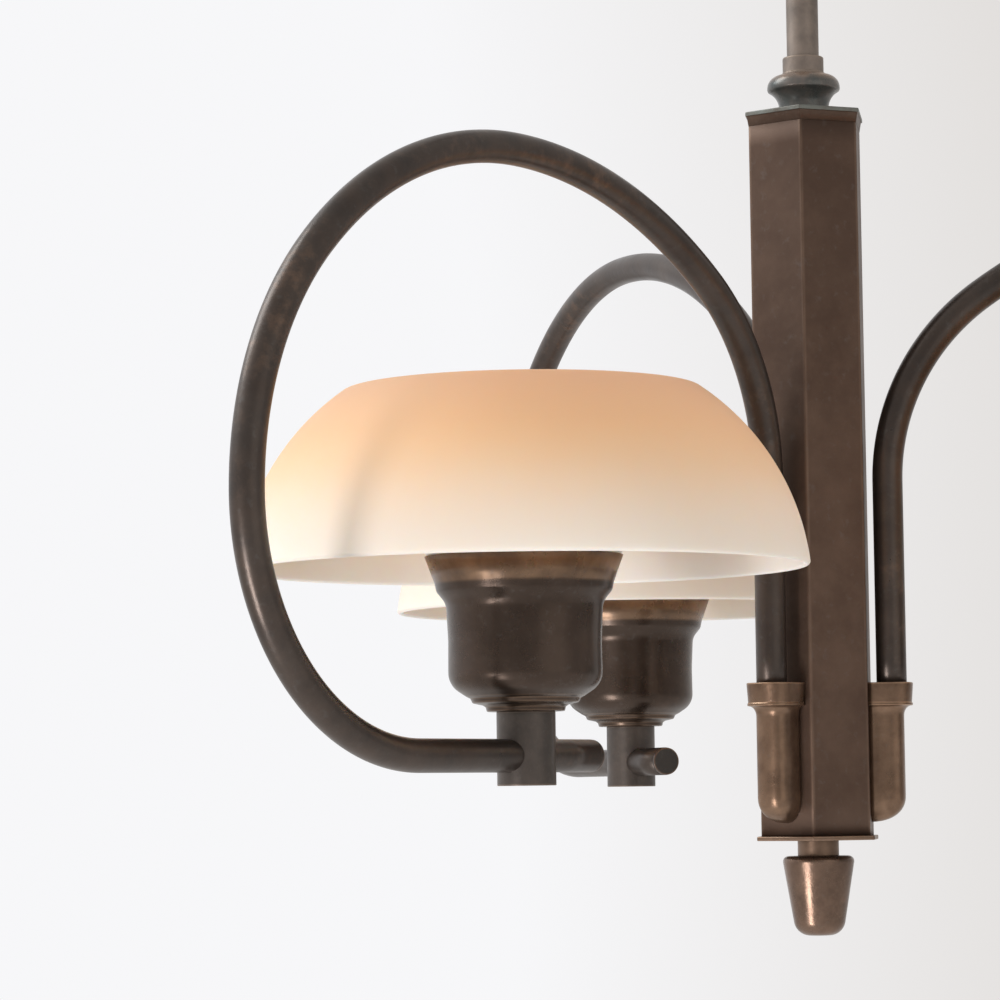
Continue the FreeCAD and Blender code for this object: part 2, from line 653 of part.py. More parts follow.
def cup():
    """Spun cup: stepped foot, rounded bottom, straight body and a flared band for the glass."""
    z = TEE_TOP
    wall = CUP_WALL
    bore = NIPPLE_RADIUS + FIT
    turn = (CUP_TURN_RADIUS, z + CUP_STEP_HEIGHT + wall)
    body = (CUP_BODY_RADIUS, z + CUP_BODY_HEIGHT)
    neck = (CUP_NECK_RADIUS, z + CUP_NECK_HEIGHT)
    band = (CUP_BAND_RADIUS, z + CUP_BAND_HEIGHT)
    turn_in = (turn[0] - wall, turn[1] + wall)
    body_in = (body[0] - wall, body[1])
    neck_in = (neck[0] - wall, neck[1])
    band_in = (band[0] - wall, band[1] + wall / 3)
    return at_tee(turned(
        (bore, z), (CUP_FOOT_RADIUS, z), (CUP_FOOT_RADIUS, z + CUP_FOOT_HEIGHT),
        (CUP_STEP_RADIUS, z + CUP_STEP_HEIGHT - wall), (CUP_STEP_RADIUS, z + CUP_STEP_HEIGHT),
        turn, bowed(turn, body, CUP_BOTTOM_BOW), neck, bowed(neck, band, -CUP_THROAT_BOW),
        (CUP_LIP_RADIUS, CUP_LIP), (CUP_LIP_RADIUS - wall, CUP_LIP),
        band_in, bowed(band_in, neck_in, CUP_THROAT_BOW), body_in, bowed(body_in, turn_in, -CUP_BOTTOM_BOW),
        (CUP_FOOT_RADIUS, CUP_INSIDE), (bore, CUP_INSIDE)))


# ---- Lamp parts ---------------------------------------------------------------------------------

def lampholder():
    """Porcelain body on the nipple's end, with a boss at its foot."""
    z = CUP_INSIDE
    bore = INSERT_RADIUS + FIT
    thread = NIPPLE_RADIUS + FIT
    return at_tee(turned(
        (thread, z), (HOLDER_BOSS_RADIUS, z), (HOLDER_BOSS_RADIUS, z + HOLDER_BOSS_HEIGHT),
        (HOLDER_RADIUS, z + HOLDER_SHOULDER_HEIGHT), (HOLDER_RADIUS, HOLDER_TOP), (bore, HOLDER_TOP),
        (bore, INSERT_BOTTOM), (NIPPLE_BORE, INSERT_BOTTOM),
        (NIPPLE_BORE, z + NIPPLE_ABOVE_FLOOR), (thread, z + NIPPLE_ABOVE_FLOOR)))


def lampholder_insert():
    """Metal shell that takes the bulb's cap, on a floor with the centre contact."""
    inner = INSERT_RADIUS - INSERT_WALL
    floor = INSERT_BOTTOM + INSERT_FLOOR
    top = HOLDER_TOP - INSERT_WALL
    return at_tee(turned((0, INSERT_BOTTOM), (INSERT_RADIUS, INSERT_BOTTOM), (INSERT_RADIUS, top),
                         (inner, top), (inner, floor), (0, floor)))


def bulb_cap():
    tip_top = BULB_BOTTOM + BULB_TIP_HEIGHT
    top = tip_top + BULB_CAP_HEIGHT
    wall = INSERT_WALL
    return at_tee(turned((0, BULB_BOTTOM), (BULB_TIP_RADIUS, BULB_BOTTOM), (BULB_CAP_RADIUS, tip_top),
                         (BULB_CAP_RADIUS, top), (BULB_NECK_RADIUS + FIT, top),
                         (BULB_NECK_RADIUS + FIT, tip_top + 2 * wall), (0, tip_top + 2 * wall)))


def bulb_glass():
    """Clear bulb: a narrow neck that opens into a ball."""
    start = BULB_BOTTOM + BULB_TIP_HEIGHT + BULB_CAP_HEIGHT / 2
    cap_top = BULB_BOTTOM + BULB_TIP_HEIGHT + BULB_CAP_HEIGHT
    centre = (0, BULB_BOTTOM + BULB_LENGTH - BULB_RADIUS)
    outlines = []
    for inset in (0, BULB_GLASS):
        ball = BULB_RADIUS - inset
        neck = BULB_NECK_RADIUS - inset
        join = on_circle(centre, ball, -BULB_LEAVE)
        half = (90 - BULB_LEAVE) / 2
        outlines.append(turned((0, start + inset), (neck, start + inset), (neck, cap_top), join,
                               (on_circle(centre, ball, half), (0, centre[1] + ball))))
    return at_tee(outlines[0].cut(outlines[1]))


def shade():
    """One blown piece: neck in the cup, funnel and bowl round the bulb, folded over into a skirt."""
    rim_z = CUP_LIP - RIM_DROP
    lean = math.radians(RIM_LEAN)
    skirt = (RIM_RADIUS - SKIRT_RADIUS * math.cos(lean), rim_z - SKIRT_RADIUS * math.sin(lean))
    fold = on_circle(skirt, SKIRT_RADIUS - FOLD_RADIUS, FOLD_LEAN)
    thin = FOLD_RADIUS - GLASS
    half = (RIM_LEAN + FOLD_LEAN) / 2
    over = (FOLD_LEAN + 180) / 2
    seat, lip, mouth, mouth_in = neck_outline()
    wall_x = fold[0] - thin
    run = on_circle(mouth, FUNNEL_LENGTH, 90 - FUNNEL_LEAN)
    turn = (wall_x - run[0]) / (1 - math.cos(math.radians(FUNNEL_LEAN)))
    bowl = (wall_x - turn, run[1] + turn * math.sin(math.radians(FUNNEL_LEAN)))
    run_in = on_circle(bowl, turn - GLASS, -FUNNEL_LEAN)
    return at_tee(turned(
        seat, lip, mouth, run, (on_circle(bowl, turn, -FUNNEL_LEAN / 2), (wall_x, bowl[1])),
        (wall_x, fold[1]), (on_circle(fold, thin, over), on_circle(fold, thin, FOLD_LEAN)),
        (on_circle(skirt, SKIRT_RADIUS - GLASS, half), on_circle(skirt, SKIRT_RADIUS - GLASS, RIM_LEAN)),
        (on_circle(on_circle(skirt, SKIRT_RADIUS - GLASS / 2, RIM_LEAN), GLASS / 2, RIM_LEAN - 90),
         on_circle(skirt, SKIRT_RADIUS, RIM_LEAN)),
        (on_circle(skirt, SKIRT_RADIUS, half), on_circle(skirt, SKIRT_RADIUS, FOLD_LEAN)),
        (on_circle(fold, FOLD_RADIUS, over), (fold[0] - FOLD_RADIUS, fold[1])),
        (bowl[0] + turn - GLASS, bowl[1]),
        (on_circle(bowl, turn - GLASS, -FUNNEL_LEAN / 2), run_in), mouth_in, (seat[0] - GLASS, seat[1])))


def neck_outline():
    """Foot, lip and mouth of the glass neck, a running gap inside the cup's band, and its inner bend."""
    depth = CUP_HEIGHT - CUP_BAND_HEIGHT - 2 * RUNNING
    slope = (CUP_LIP_RADIUS - CUP_BAND_RADIUS) / (CUP_HEIGHT - CUP_BAND_HEIGHT)
    lip_x = CUP_LIP_RADIUS - CUP_WALL - RUNNING
    mouth_x = lip_x + slope * GLASS / 2
    foot_x = lip_x - slope * depth - RUNNING
    mouth = (mouth_x, CUP_LIP + GLASS / 2)
    inward = 90 + (90 - FUNNEL_LEAN + math.degrees(math.atan(1 / slope))) / 2
    return (foot_x, CUP_LIP - depth), (lip_x, CUP_LIP), mouth, on_circle(mouth, GLASS, inward)


def arm_lead():
    """Two-core lead: down the column's wall, through the socket and along the arm to the holder."""
    inside = INNER_FACE - LEAD_GAP - LEAD_RADIUS
    bend = min(LEAD_BEND, (LEG_X - inside) / 2)
    top = FOOT + CONNECTOR_HEIGHT
    route = Route(CONNECTOR_RADIUS - LEAD_RADIUS, top, -90)
    step = inside - CONNECTOR_RADIUS + LEAD_RADIUS
    slant = 2 * bend * (1 - math.cos(math.radians(LEAD_SLANT)))
    route.run(bend).bend(bend, LEAD_SLANT)
    route.run((step - slant) / math.sin(math.radians(LEAD_SLANT))).bend(bend, -LEAD_SLANT)
    route.run(route.place.z - PASSAGE_Z - bend).bend(bend, 90)
    route.run(LEG_X - inside - 2 * bend).bend(bend, 90)
    route.run(LEG_TOP - PASSAGE_Z - bend)
    for radius, turn in BENDS:
        route.bend(radius, -turn)
    route.run(route.place.x - ARM_REACH - bend).bend(bend, -90)
    return route.run(INSERT_BOTTOM - TEE_AXIS - bend).solid(LEAD_RADIUS)


# ---- Output -------------------------------------------------------------------------------------

def save(name, shape):
    shape.exportStep("parts/" + name + ".step")


os.makedirs("parts", exist_ok=True)
for piece in (hanging_eye, eye_pin, drop_rod, canopy, canopy_grub_screw, terminal_block, supply_lead,
              column_tube, column_cap, column_base, top_knob, rod_sleeve, rod_nut, rod_coupler, tie_rod,
              tie_nuts, column_connector, finial_neck, finial):
    save(piece.__name__, piece())

for piece in (arm_socket, arm_tube, end_plug, tee, nipple, cup, lampholder, lampholder_insert, bulb_cap,
              bulb_glass, shade, arm_lead):
    shape = piece()
    for index, letter in enumerate(ARM_NAMES):
        save(piece.__name__ + "_" + letter, at_arm(shape, index))
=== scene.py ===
import math

import bmesh
import bpy
import numpy as np
from mathutils import Matrix, Vector


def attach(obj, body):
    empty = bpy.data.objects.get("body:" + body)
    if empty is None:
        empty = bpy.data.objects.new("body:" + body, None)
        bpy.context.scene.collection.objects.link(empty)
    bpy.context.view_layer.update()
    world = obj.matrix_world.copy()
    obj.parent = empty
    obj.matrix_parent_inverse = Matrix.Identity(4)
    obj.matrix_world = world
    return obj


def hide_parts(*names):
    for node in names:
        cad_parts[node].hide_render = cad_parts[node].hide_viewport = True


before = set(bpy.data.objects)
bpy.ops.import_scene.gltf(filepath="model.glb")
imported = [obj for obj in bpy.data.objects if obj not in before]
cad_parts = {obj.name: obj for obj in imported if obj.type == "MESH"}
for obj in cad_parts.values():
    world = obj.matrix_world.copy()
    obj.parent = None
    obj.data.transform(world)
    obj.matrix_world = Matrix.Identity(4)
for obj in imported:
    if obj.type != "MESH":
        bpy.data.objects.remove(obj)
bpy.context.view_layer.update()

# ---- Where the eye stands ----------------------------------------------------------------------
# The lamp is seen from just under the cups, about a metre and three quarters away, through a long
# lens. The eye looks a little up and to the left of the column, so the right arm is cut off.

LENS, SENSOR, FAR_LIMIT = 135.1, 36.0, 50.0
EYE = (0.11781, -1.74542, -0.66551)
YAW, PITCH, ROLL = 0.15046, 0.07913, -0.01297

camera = bpy.data.objects.new("eye_level", bpy.data.cameras.new("eye_level"))
bpy.context.scene.collection.objects.link(camera)
camera.data.sensor_width = SENSOR
camera.data.lens = LENS
camera.data.clip_end = FAR_LIMIT
camera.matrix_world = (Matrix.Translation(EYE)
                       @ Matrix.Rotation(YAW, 4, "Z")
                       @ Matrix.Rotation(math.pi / 2 + PITCH, 4, "X")
                       @ Matrix.Rotation(ROLL, 4, "Z"))
bpy.context.scene.camera = camera

# ---- The room ----------------------------------------------------------------------------------
# A pale room: a white wall behind the lamp that turns warm grey to the right and greyer still
# behind the eye, and a pale floor far below. A low window, a side window and an upper lamp stand
# to the left, and a weak warm light stands in front to the right.

WALL_DARKENS_TOWARDS = (0.8, -0.6, 0.0)
WALL_TONES = ((0.145, (0.93, 0.93, 0.945)), (0.20, (0.765, 0.742, 0.725)),
              (0.45, (0.68, 0.66, 0.64)), (0.80, (0.47, 0.46, 0.45)))
ROOM_LIGHT, ROOM_LIGHT_COLOUR = 0.86, (1.0, 0.985, 0.97)
FLOOR_RADIUS, FLOOR_HEIGHT, FLOOR_SIDES = 9.0, -2.3, 96
FLOOR_COLOUR = (0.86, 0.855, 0.85)

bpy.context.scene.view_settings.view_transform = "Standard"

world = bpy.data.worlds.new("pale_room")
bpy.context.scene.world = world
world.use_nodes = True
tree = world.node_tree
tree.nodes.clear()
direction = tree.nodes.new("ShaderNodeTexCoord")
turned_away = tree.nodes.new("ShaderNodeVectorMath")
turned_away.operation = "DOT_PRODUCT"
turned_away.inputs[1].default_value = WALL_DARKENS_TOWARDS
tree.links.new(direction.outputs["Generated"], turned_away.inputs[0])
across = tree.nodes.new("ShaderNodeMapRange")
across.inputs["From Min"].default_value = -1.0
across.inputs["From Max"].default_value = 1.0
tree.links.new(turned_away.outputs["Value"], across.inputs["Value"])
wall = tree.nodes.new("ShaderNodeValToRGB")
while len(wall.color_ramp.elements) < len(WALL_TONES):
    wall.color_ramp.elements.new(0.5)
for element, (position, colour) in zip(wall.color_ramp.elements, WALL_TONES):
    element.position = position
    element.color = (*colour, 1)
tree.links.new(across.outputs["Result"], wall.inputs["Fac"])
seen = tree.nodes.new("ShaderNodeBackground")
tree.links.new(wall.outputs["Color"], seen.inputs["Color"])
seen.inputs["Strength"].default_value = 1.0
lighting = tree.nodes.new("ShaderNodeBackground")
lighting.inputs["Color"].default_value = (*ROOM_LIGHT_COLOUR, 1)
lighting.inputs["Strength"].default_value = ROOM_LIGHT
rays = tree.nodes.new("ShaderNodeLightPath")
camera_or_gloss = tree.nodes.new("ShaderNodeMath")
camera_or_gloss.operation = "MAXIMUM"
or_through = tree.nodes.new("ShaderNodeMath")
or_through.operation = "MAXIMUM"
tree.links.new(rays.outputs["Is Camera Ray"], camera_or_gloss.inputs[0])
tree.links.new(rays.outputs["Is Glossy Ray"], camera_or_gloss.inputs[1])
tree.links.new(camera_or_gloss.outputs[0], or_through.inputs[0])
tree.links.new(rays.outputs["Is Transmission Ray"], or_through.inputs[1])
choice = tree.nodes.new("ShaderNodeMixShader")
tree.links.new(or_through.outputs[0], choice.inputs["Fac"])
tree.links.new(lighting.outputs[0], choice.inputs[1])
tree.links.new(seen.outputs[0], choice.inputs[2])
room_out = tree.nodes.new("ShaderNodeOutputWorld")
tree.links.new(choice.outputs[0], room_out.inputs["Surface"])


def lamp(name, place, target, width, height, power, colour):
    """Rectangular light that faces a target."""
    light = bpy.data.lights.new(name, "AREA")
    light.shape = "RECTANGLE"
    light.size, light.size_y = width, height
    light.energy = power
    light.color = colour
    made = bpy.data.objects.new(name, light)
    bpy.context.scene.collection.objects.link(made)
    made.location = place
    made.rotation_euler = (Vector(target) - Vector(place)).to_track_quat("-Z", "Y").to_euler()


lamp("low_window", (-0.95, -1.30, -1.35), (-0.05, -0.1, -0.60), 0.36, 0.75, 13.5,
     (1.0, 0.96, 0.95))
lamp("upper_left", (-1.75, -0.85, 0.45), (0.0, 0.0, -0.55), 1.2, 1.2, 3.0, (0.95, 0.98, 1.0))
lamp("side_window", (-1.60, 0.05, 0.85), (-0.1, -0.1, -0.45), 0.9, 1.3, 22.0, (0.93, 0.98, 1.0))
lamp("right_front", (1.35, -1.30, -0.25), (0.0, -0.1, -0.5), 1.5, 1.5, 3.0, (1.0, 0.94, 0.86))

floor_mesh = bpy.data.meshes.new("pale_floor")
around = np.linspace(0, 2 * np.pi, FLOOR_SIDES, endpoint=False)
rim = np.stack([FLOOR_RADIUS * np.cos(around), FLOOR_RADIUS * np.sin(around),
                np.full_like(around, FLOOR_HEIGHT)], -1)
floor_mesh.from_pydata(rim.tolist(), [], [list(range(len(rim)))])
floor = bpy.data.objects.new("pale_floor", floor_mesh)
bpy.context.scene.collection.objects.link(floor)
floor_paint = bpy.data.materials.new("pale_floor")
floor_paint.use_nodes = True
floor_shader = floor_paint.node_tree.nodes["Principled BSDF"]
floor_shader.inputs["Base Color"].default_value = (*FLOOR_COLOUR, 1)
floor_shader.inputs["Roughness"].default_value = 0.9
floor_shader.inputs["Specular IOR Level"].default_value = 0.1
floor_mesh.materials.append(floor_paint)

# ---- Drop rod and hanging eye ------------------------------------------------------------------
# A plain brass tube, darkened with age to a blotchy grey brown. A forged eye on a shank stands in
# its top end, held by a cross pin.

MM = 0.001


def skin(name, grid, looped=False, wear=None):
    """Mesh from a grid of points in millimetres. Rows follow a profile or a path, and columns go
    round. Each point is joined to its neighbours by four-sided faces, the last column to the
    first, and where looped the last row to the first. A row that shrinks to one point is a pole."""
    rows, columns = grid.shape[:2]
    index = np.arange(rows * columns).reshape(rows, columns)
    if looped:
        index = np.vstack([index, index[:1]])
    here, along = index[:-1], index[1:]
    faces = np.stack([here, np.roll(here, -1, 1), np.roll(along, -1, 1), along], -1).reshape(-1, 4)
    points = grid.reshape(-1, 3) * MM
    a, b, c, d = (points[faces[:, k]] - points.mean(0) for k in range(4))
    volume = np.sum(a * np.cross(b, c)) + np.sum(a * np.cross(c, d))
    if volume < 0:
        faces = faces[:, ::-1]
    mesh = bpy.data.meshes.new(name)
    mesh.from_pydata(points.tolist(), [], faces.tolist())
    rubbed = mesh.attributes.new("wear", "FLOAT", "POINT")
    amount = np.zeros(rows * columns, np.float32)
    if wear is not None:
        amount += np.broadcast_to(wear, (rows, columns)).reshape(-1).astype(np.float32)
    rubbed.data.foreach_set("value", amount)
    work = bmesh.new()
    work.from_mesh(mesh)
    bmesh.ops.remove_doubles(work, verts=work.verts, dist=1e-7)
    work.to_mesh(mesh)
    work.free()
    mesh.polygons.foreach_set("use_smooth", np.ones(len(mesh.polygons), bool))
    made = bpy.data.objects.new(name, mesh)
    bpy.context.scene.collection.objects.link(made)
    return made


def dress(made, paint, slot, body, *stands_for):
    """Gives a piece its finish and its body, and hides the parts that it stands for."""
    made.data.materials.clear()
    made.data.materials.append(paint)
    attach(made, body)
    if stands_for:
        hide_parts(*stands_for)


def eased(corners, closed=False, sweep=8.0, shoulder=0.5):
    """Outline through corners (x, y, radius), each turned into an arc of its radius, with a point
    beside each arc so that flats stay flat. Returns the points, and 1 on the arcs of sharp edges
    and 0 elsewhere."""
    places = np.array([corner[:2] for corner in corners], float)
    count = len(corners)
    points, sharp = [], []
    for k, (x, y, radius) in enumerate(corners):
        if radius == 0 or (not closed and k in (0, count - 1)):
            points.append(places[k][None])
            sharp.append(np.zeros(1))
            continue
        back = places[k - 1] - places[k]
        ahead = places[(k + 1) % count] - places[k]
        room = min(np.linalg.norm(back), np.linalg.norm(ahead))
        back /= np.linalg.norm(back)
        ahead /= np.linalg.norm(ahead)
        half = math.acos(np.clip(back @ ahead, -1, 1)) / 2
        reach = radius / math.tan(half)
        towards = (back + ahead) / np.linalg.norm(back + ahead)
        centre = places[k] + towards * radius / math.sin(half)
        first, last = places[k] + back * reach - centre, places[k] + ahead * reach - centre
        turn = math.pi - 2 * half
        steps = max(3, math.ceil(math.degrees(turn) / sweep))
        t = np.linspace(0, 1, steps + 1)[:, None]
        arc = centre + (np.sin((1 - t) * turn) * first + np.sin(t * turn) * last) / math.sin(turn)
        beside = min(shoulder, 0.3 * (room - reach)) if room > reach else 0
        if beside > 0.02:
            arc = np.vstack([places[k] + back * (reach + beside), arc,
                             places[k] + ahead * (reach + beside)])
        points.append(arc)
        edge = np.full(len(arc), 1.0 if radius < 2.0 else 0.0)
        if beside > 0.02:
            edge[[0, -1]] = 0
        sharp.append(edge)
    return np.vstack(points), np.concatenate(sharp)


def spun(profile, steps=96, centre=(0.0, 0.0)):
    """Rows of rings: every profile point (r, z) carried round an upright axis."""
    angle = np.linspace(0, 2 * np.pi, steps, endpoint=False)
    r, z = profile[:, :1], profile[:, 1:]
    return np.stack([centre[0] + r * np.cos(angle), centre[1] + r * np.sin(angle),
                     np.broadcast_to(z, (len(profile), steps))], -1)


def aged_brass(name, dark, mid, worn, metallic=0.75, rough=(0.36, 0.52), blotch=40.0, patches=0.3,
               wear_gain=1.0, bump=0.12, lines=0.0):
    """Patinated brass: two browns mixed by a blotchy noise, a rubbed colour where the wear
    attribute and a finer noise say so, fine dust, uneven gloss, a faint pitted surface and, where
    asked, fine level turning lines."""
    paint = bpy.data.materials.new(name)
    paint.use_nodes = True
    nodes, links = paint.node_tree.nodes, paint.node_tree.links
    shader = nodes["Principled BSDF"]
    where = nodes.new("ShaderNodeTexCoord")

    def noise(scale, detail, roughness, stretch=None):
        made = nodes.new("ShaderNodeTexNoise")
        made.inputs["Scale"].default_value = scale
        made.inputs["Detail"].default_value = detail
        made.inputs["Roughness"].default_value = roughness
        if stretch:
            mapping = nodes.new("ShaderNodeMapping")
            mapping.inputs["Scale"].default_value = stretch
            links.new(where.outputs["Object"], mapping.inputs["Vector"])
            links.new(mapping.outputs["Vector"], made.inputs["Vector"])
        else:
            links.new(where.outputs["Object"], made.inputs["Vector"])
        return made.outputs["Fac"]

    def spread(value, low, high, to_low=0.0, to_high=1.0):
        made = nodes.new("ShaderNodeMapRange")
        made.inputs["From Min"].default_value = low
        made.inputs["From Max"].default_value = high
        made.inputs["To Min"].default_value = to_low
        made.inputs["To Max"].default_value = to_high
        links.new(value, made.inputs["Value"])
        return made.outputs["Result"]

    def maths(operation, a, b):
        made = nodes.new("ShaderNodeMath")
        made.operation = operation
        made.use_clamp = operation != "SUBTRACT"
        for k, value in enumerate((a, b)):
            if isinstance(value, float):
                made.inputs[k].default_value = value
            else:
                links.new(value, made.inputs[k])
        return made.outputs[0]

    def mixed(factor, a, b):
        made = nodes.new("ShaderNodeMix")
        made.data_type = "RGBA"
        links.new(factor, made.inputs["Factor"])
        for socket, value in zip((made.inputs[6], made.inputs[7]), (a, b)):
            if isinstance(value, tuple):
                socket.default_value = (*value, 1)
            else:
                links.new(value, socket)
        return made.outputs[2]

    blotches = spread(noise(blotch, 7, 0.62), 0.36, 0.66)
    large = spread(noise(blotch * 0.28, 3, 0.5), 0.42, 0.72, 0.0, patches)
    fine = noise(blotch * 9, 4, 0.6)
    attribute = nodes.new("ShaderNodeAttribute")
    attribute.attribute_name = "wear"
    uneven = spread(noise(blotch * 2.2, 5, 0.6), 0.25, 0.62, 0.25, 1.0)
    rubbed = maths("MULTIPLY", maths("MULTIPLY", attribute.outputs["Fac"], uneven), wear_gain)
    scuffed = maths("MULTIPLY", large, spread(noise(blotch * 4.0, 5, 0.65), 0.42, 0.7, 0.0, 0.55))
    colour = mixed(blotches, dark, mid)
    colour = mixed(maths("MAXIMUM", rubbed, scuffed), colour, worn)
    dusty = spread(fine, 0.58, 0.8, 0.0, 0.35)
    colour = mixed(dusty, colour, tuple(0.5 * channel + 0.09 for channel in mid))
    links.new(colour, shader.inputs["Base Color"])
    gloss = spread(noise(blotch * 1.3, 6, 0.6), 0.3, 0.7, rough[1], rough[0])
    links.new(gloss, shader.inputs["Roughness"])
    shader.inputs["Metallic"].default_value = metallic
    relief = fine
    if lines:
        turned_lines = noise(1.0, 3, 0.7, stretch=(2.0, 2.0, 900.0))
        relief = maths("ADD", maths("MULTIPLY", fine, 1.0 - lines),
                       maths("MULTIPLY", turned_lines, lines))
    dents = nodes.new("ShaderNodeBump")
    dents.inputs["Strength"].default_value = bump
    dents.inputs["Distance"].default_value = 0.0006
    links.new(relief, dents.inputs["Height"])
    links.new(dents.outputs["Normal"], shader.inputs["Normal"])
    return paint


ROD_TOP, ROD_RADIUS, ROD_LENGTH = -34.0, 7.5, 330.0
ROD_BOTTOM = ROD_TOP - ROD_LENGTH
EYE_THICKNESS, EYE_INSIDE, EYE_OUTSIDE = 4.0, 6.0, 11.0
SHANK_RADIUS, SHANK_DEPTH, SHANK_FLANGE = 6.4, 14.0, 7.5

rod_brass = aged_brass("rod_brass", (0.13, 0.108, 0.094), (0.24, 0.195, 0.165), (0.36, 0.27, 0.20),
                       metallic=0.6, rough=(0.4, 0.56), blotch=55.0, patches=0.5)
outline, sharp = eased([(0, ROD_BOTTOM, 0), (ROD_RADIUS, ROD_BOTTOM, 0.4), (ROD_RADIUS, ROD_TOP, 0.4),
                        (0, ROD_TOP, 0)])
dress(skin("rod_tube", spun(outline, 64), wear=sharp[:, None]), rod_brass, "dark_brass", "frame",
      "drop_rod")

half_thick = EYE_THICKNESS / 2
outline, sharp = eased([(EYE_INSIDE, -half_thick, 1.0), (EYE_OUTSIDE, -half_thick, 1.2),
                        (EYE_OUTSIDE, half_thick, 1.2), (EYE_INSIDE, half_thick, 1.0)], closed=True)
ring = spun(outline, 72)[:, :, [0, 2, 1]]
dress(skin("eye_ring", ring, looped=True, wear=sharp[:, None] * 0.8), rod_brass, "dark_brass",
      "frame", "hanging_eye")


def rounded_bar(levels, steps=64):
    """Rows of rings up a bar: at each level (z, half width, half depth, squareness) the ring is a
    superellipse, from an ellipse at squareness 1 towards a rectangle as it falls to 0."""
    angle = np.linspace(0, 2 * np.pi, steps, endpoint=False)
    rows = []
    for z, wide, deep, square in levels:
        x = wide * np.sign(np.cos(angle)) * np.abs(np.cos(angle)) ** square
        y = deep * np.sign(np.sin(angle)) * np.abs(np.sin(angle)) ** square
        rows.append(np.stack([x, y, np.full(steps, z)], -1))
    return np.array(rows)


shank = rounded_bar([
    (ROD_TOP - SHANK_DEPTH, 0, 0, 1), (ROD_TOP - SHANK_DEPTH, SHANK_RADIUS, SHANK_RADIUS, 1),
    (ROD_TOP + 0.1, SHANK_RADIUS, SHANK_RADIUS, 1), (ROD_TOP + 0.1, 7.2, 7.2, 1),
    (ROD_TOP + 0.4, SHANK_FLANGE, SHANK_FLANGE, 1), (ROD_TOP + 1.6, SHANK_FLANGE, SHANK_FLANGE, 1),
    (ROD_TOP + 2.0, 7.2, 7.2, 1), (ROD_TOP + 2.3, 6.8, 2.6, 0.5), (ROD_TOP + 4.0, 6.5, 2.0, 0.35),
    (ROD_TOP + 14, 6.3, 1.95, 0.35), (-9.5, 6.3, 1.9, 0.35), (-8.6, 5.2, 1.5, 0.4), (-8.6, 0, 0, 1)])
dress(skin("eye_shank", shank, wear=0.15), rod_brass, "dark_brass", "frame")

# ---- Canopy ------------------------------------------------------------------------------------
# A spun brass bell that covers the ceiling hook, open at the top. A knurled screw through its
# collar clamps it on the rod.

CANOPY_TOP, CANOPY_HEIGHT, CANOPY_RADIUS, CANOPY_WALL = -12.0, 90.0, 55.0, 1.2
COLLAR_RADIUS, COLLAR_HEIGHT, CANOPY_BOW, CANOPY_BORE = 14.0, 12.0, 8.5, 7.8
COLLAR_FLOOR, COLLAR_STEP, STRAIGHT_LIP = 2.4, 0.6, 4.6


def bow(start, end, out, count=28):
    """Points of the arc between two profile points whose middle lies this far to the right."""
    start, end = np.array(start, float), np.array(end, float)
    chord = end - start
    length = np.linalg.norm(chord)
    right = np.array([chord[1], -chord[0]]) / length
    radius = (length ** 2 / 4 + out ** 2) / (2 * abs(out))
    half = math.asin(min(1.0, length / 2 / radius))
    t = np.linspace(-half, half, count)
    along = np.sin(t) * radius
    rise = (np.cos(t) - math.cos(half)) * radius
    return (start + end) / 2 + np.outer(along, chord / length) + np.outer(rise * np.sign(out), right)


foot = CANOPY_TOP - CANOPY_HEIGHT
collar_top = foot + COLLAR_HEIGHT
floor_level = collar_top + COLLAR_FLOOR
lip_inside = CANOPY_RADIUS - CANOPY_WALL
outside = bow((COLLAR_RADIUS + COLLAR_STEP, collar_top), (CANOPY_RADIUS, CANOPY_TOP - 5), CANOPY_BOW)
inside = bow((lip_inside, CANOPY_TOP - 5), (COLLAR_RADIUS, floor_level), COLLAR_STEP - CANOPY_BOW)
collar_edge, collar_sharp = eased([
    (CANOPY_BORE, foot, 0), (COLLAR_RADIUS - 0.2, foot, 1.0), (COLLAR_RADIUS, collar_top - 0.8, 0.6),
    (COLLAR_RADIUS + COLLAR_STEP, collar_top, 0)])
top_edge, top_sharp = eased([
    (CANOPY_RADIUS, CANOPY_TOP - STRAIGHT_LIP, 0), (CANOPY_RADIUS, CANOPY_TOP, 0.5),
    (lip_inside, CANOPY_TOP, 0.5), (lip_inside, CANOPY_TOP - STRAIGHT_LIP, 0)])
bell = np.vstack([collar_edge[:-1], outside, top_edge, inside, [(CANOPY_BORE, floor_level)]])
rubbed = np.concatenate([collar_sharp[:-1], np.zeros(len(outside)), top_sharp,
                         np.zeros(len(inside) + 1)])
bell_brass = aged_brass("canopy_brass", (0.050, 0.036, 0.028), (0.095, 0.068, 0.050), (0.30, 0.19, 0.12),
                        rough=(0.3, 0.46), blotch=30.0, lines=0.5)
dress(skin("canopy_bell", spun(bell, 144), looped=True, wear=rubbed[:, None]), bell_brass, "dark_brass",
      "canopy", "canopy")

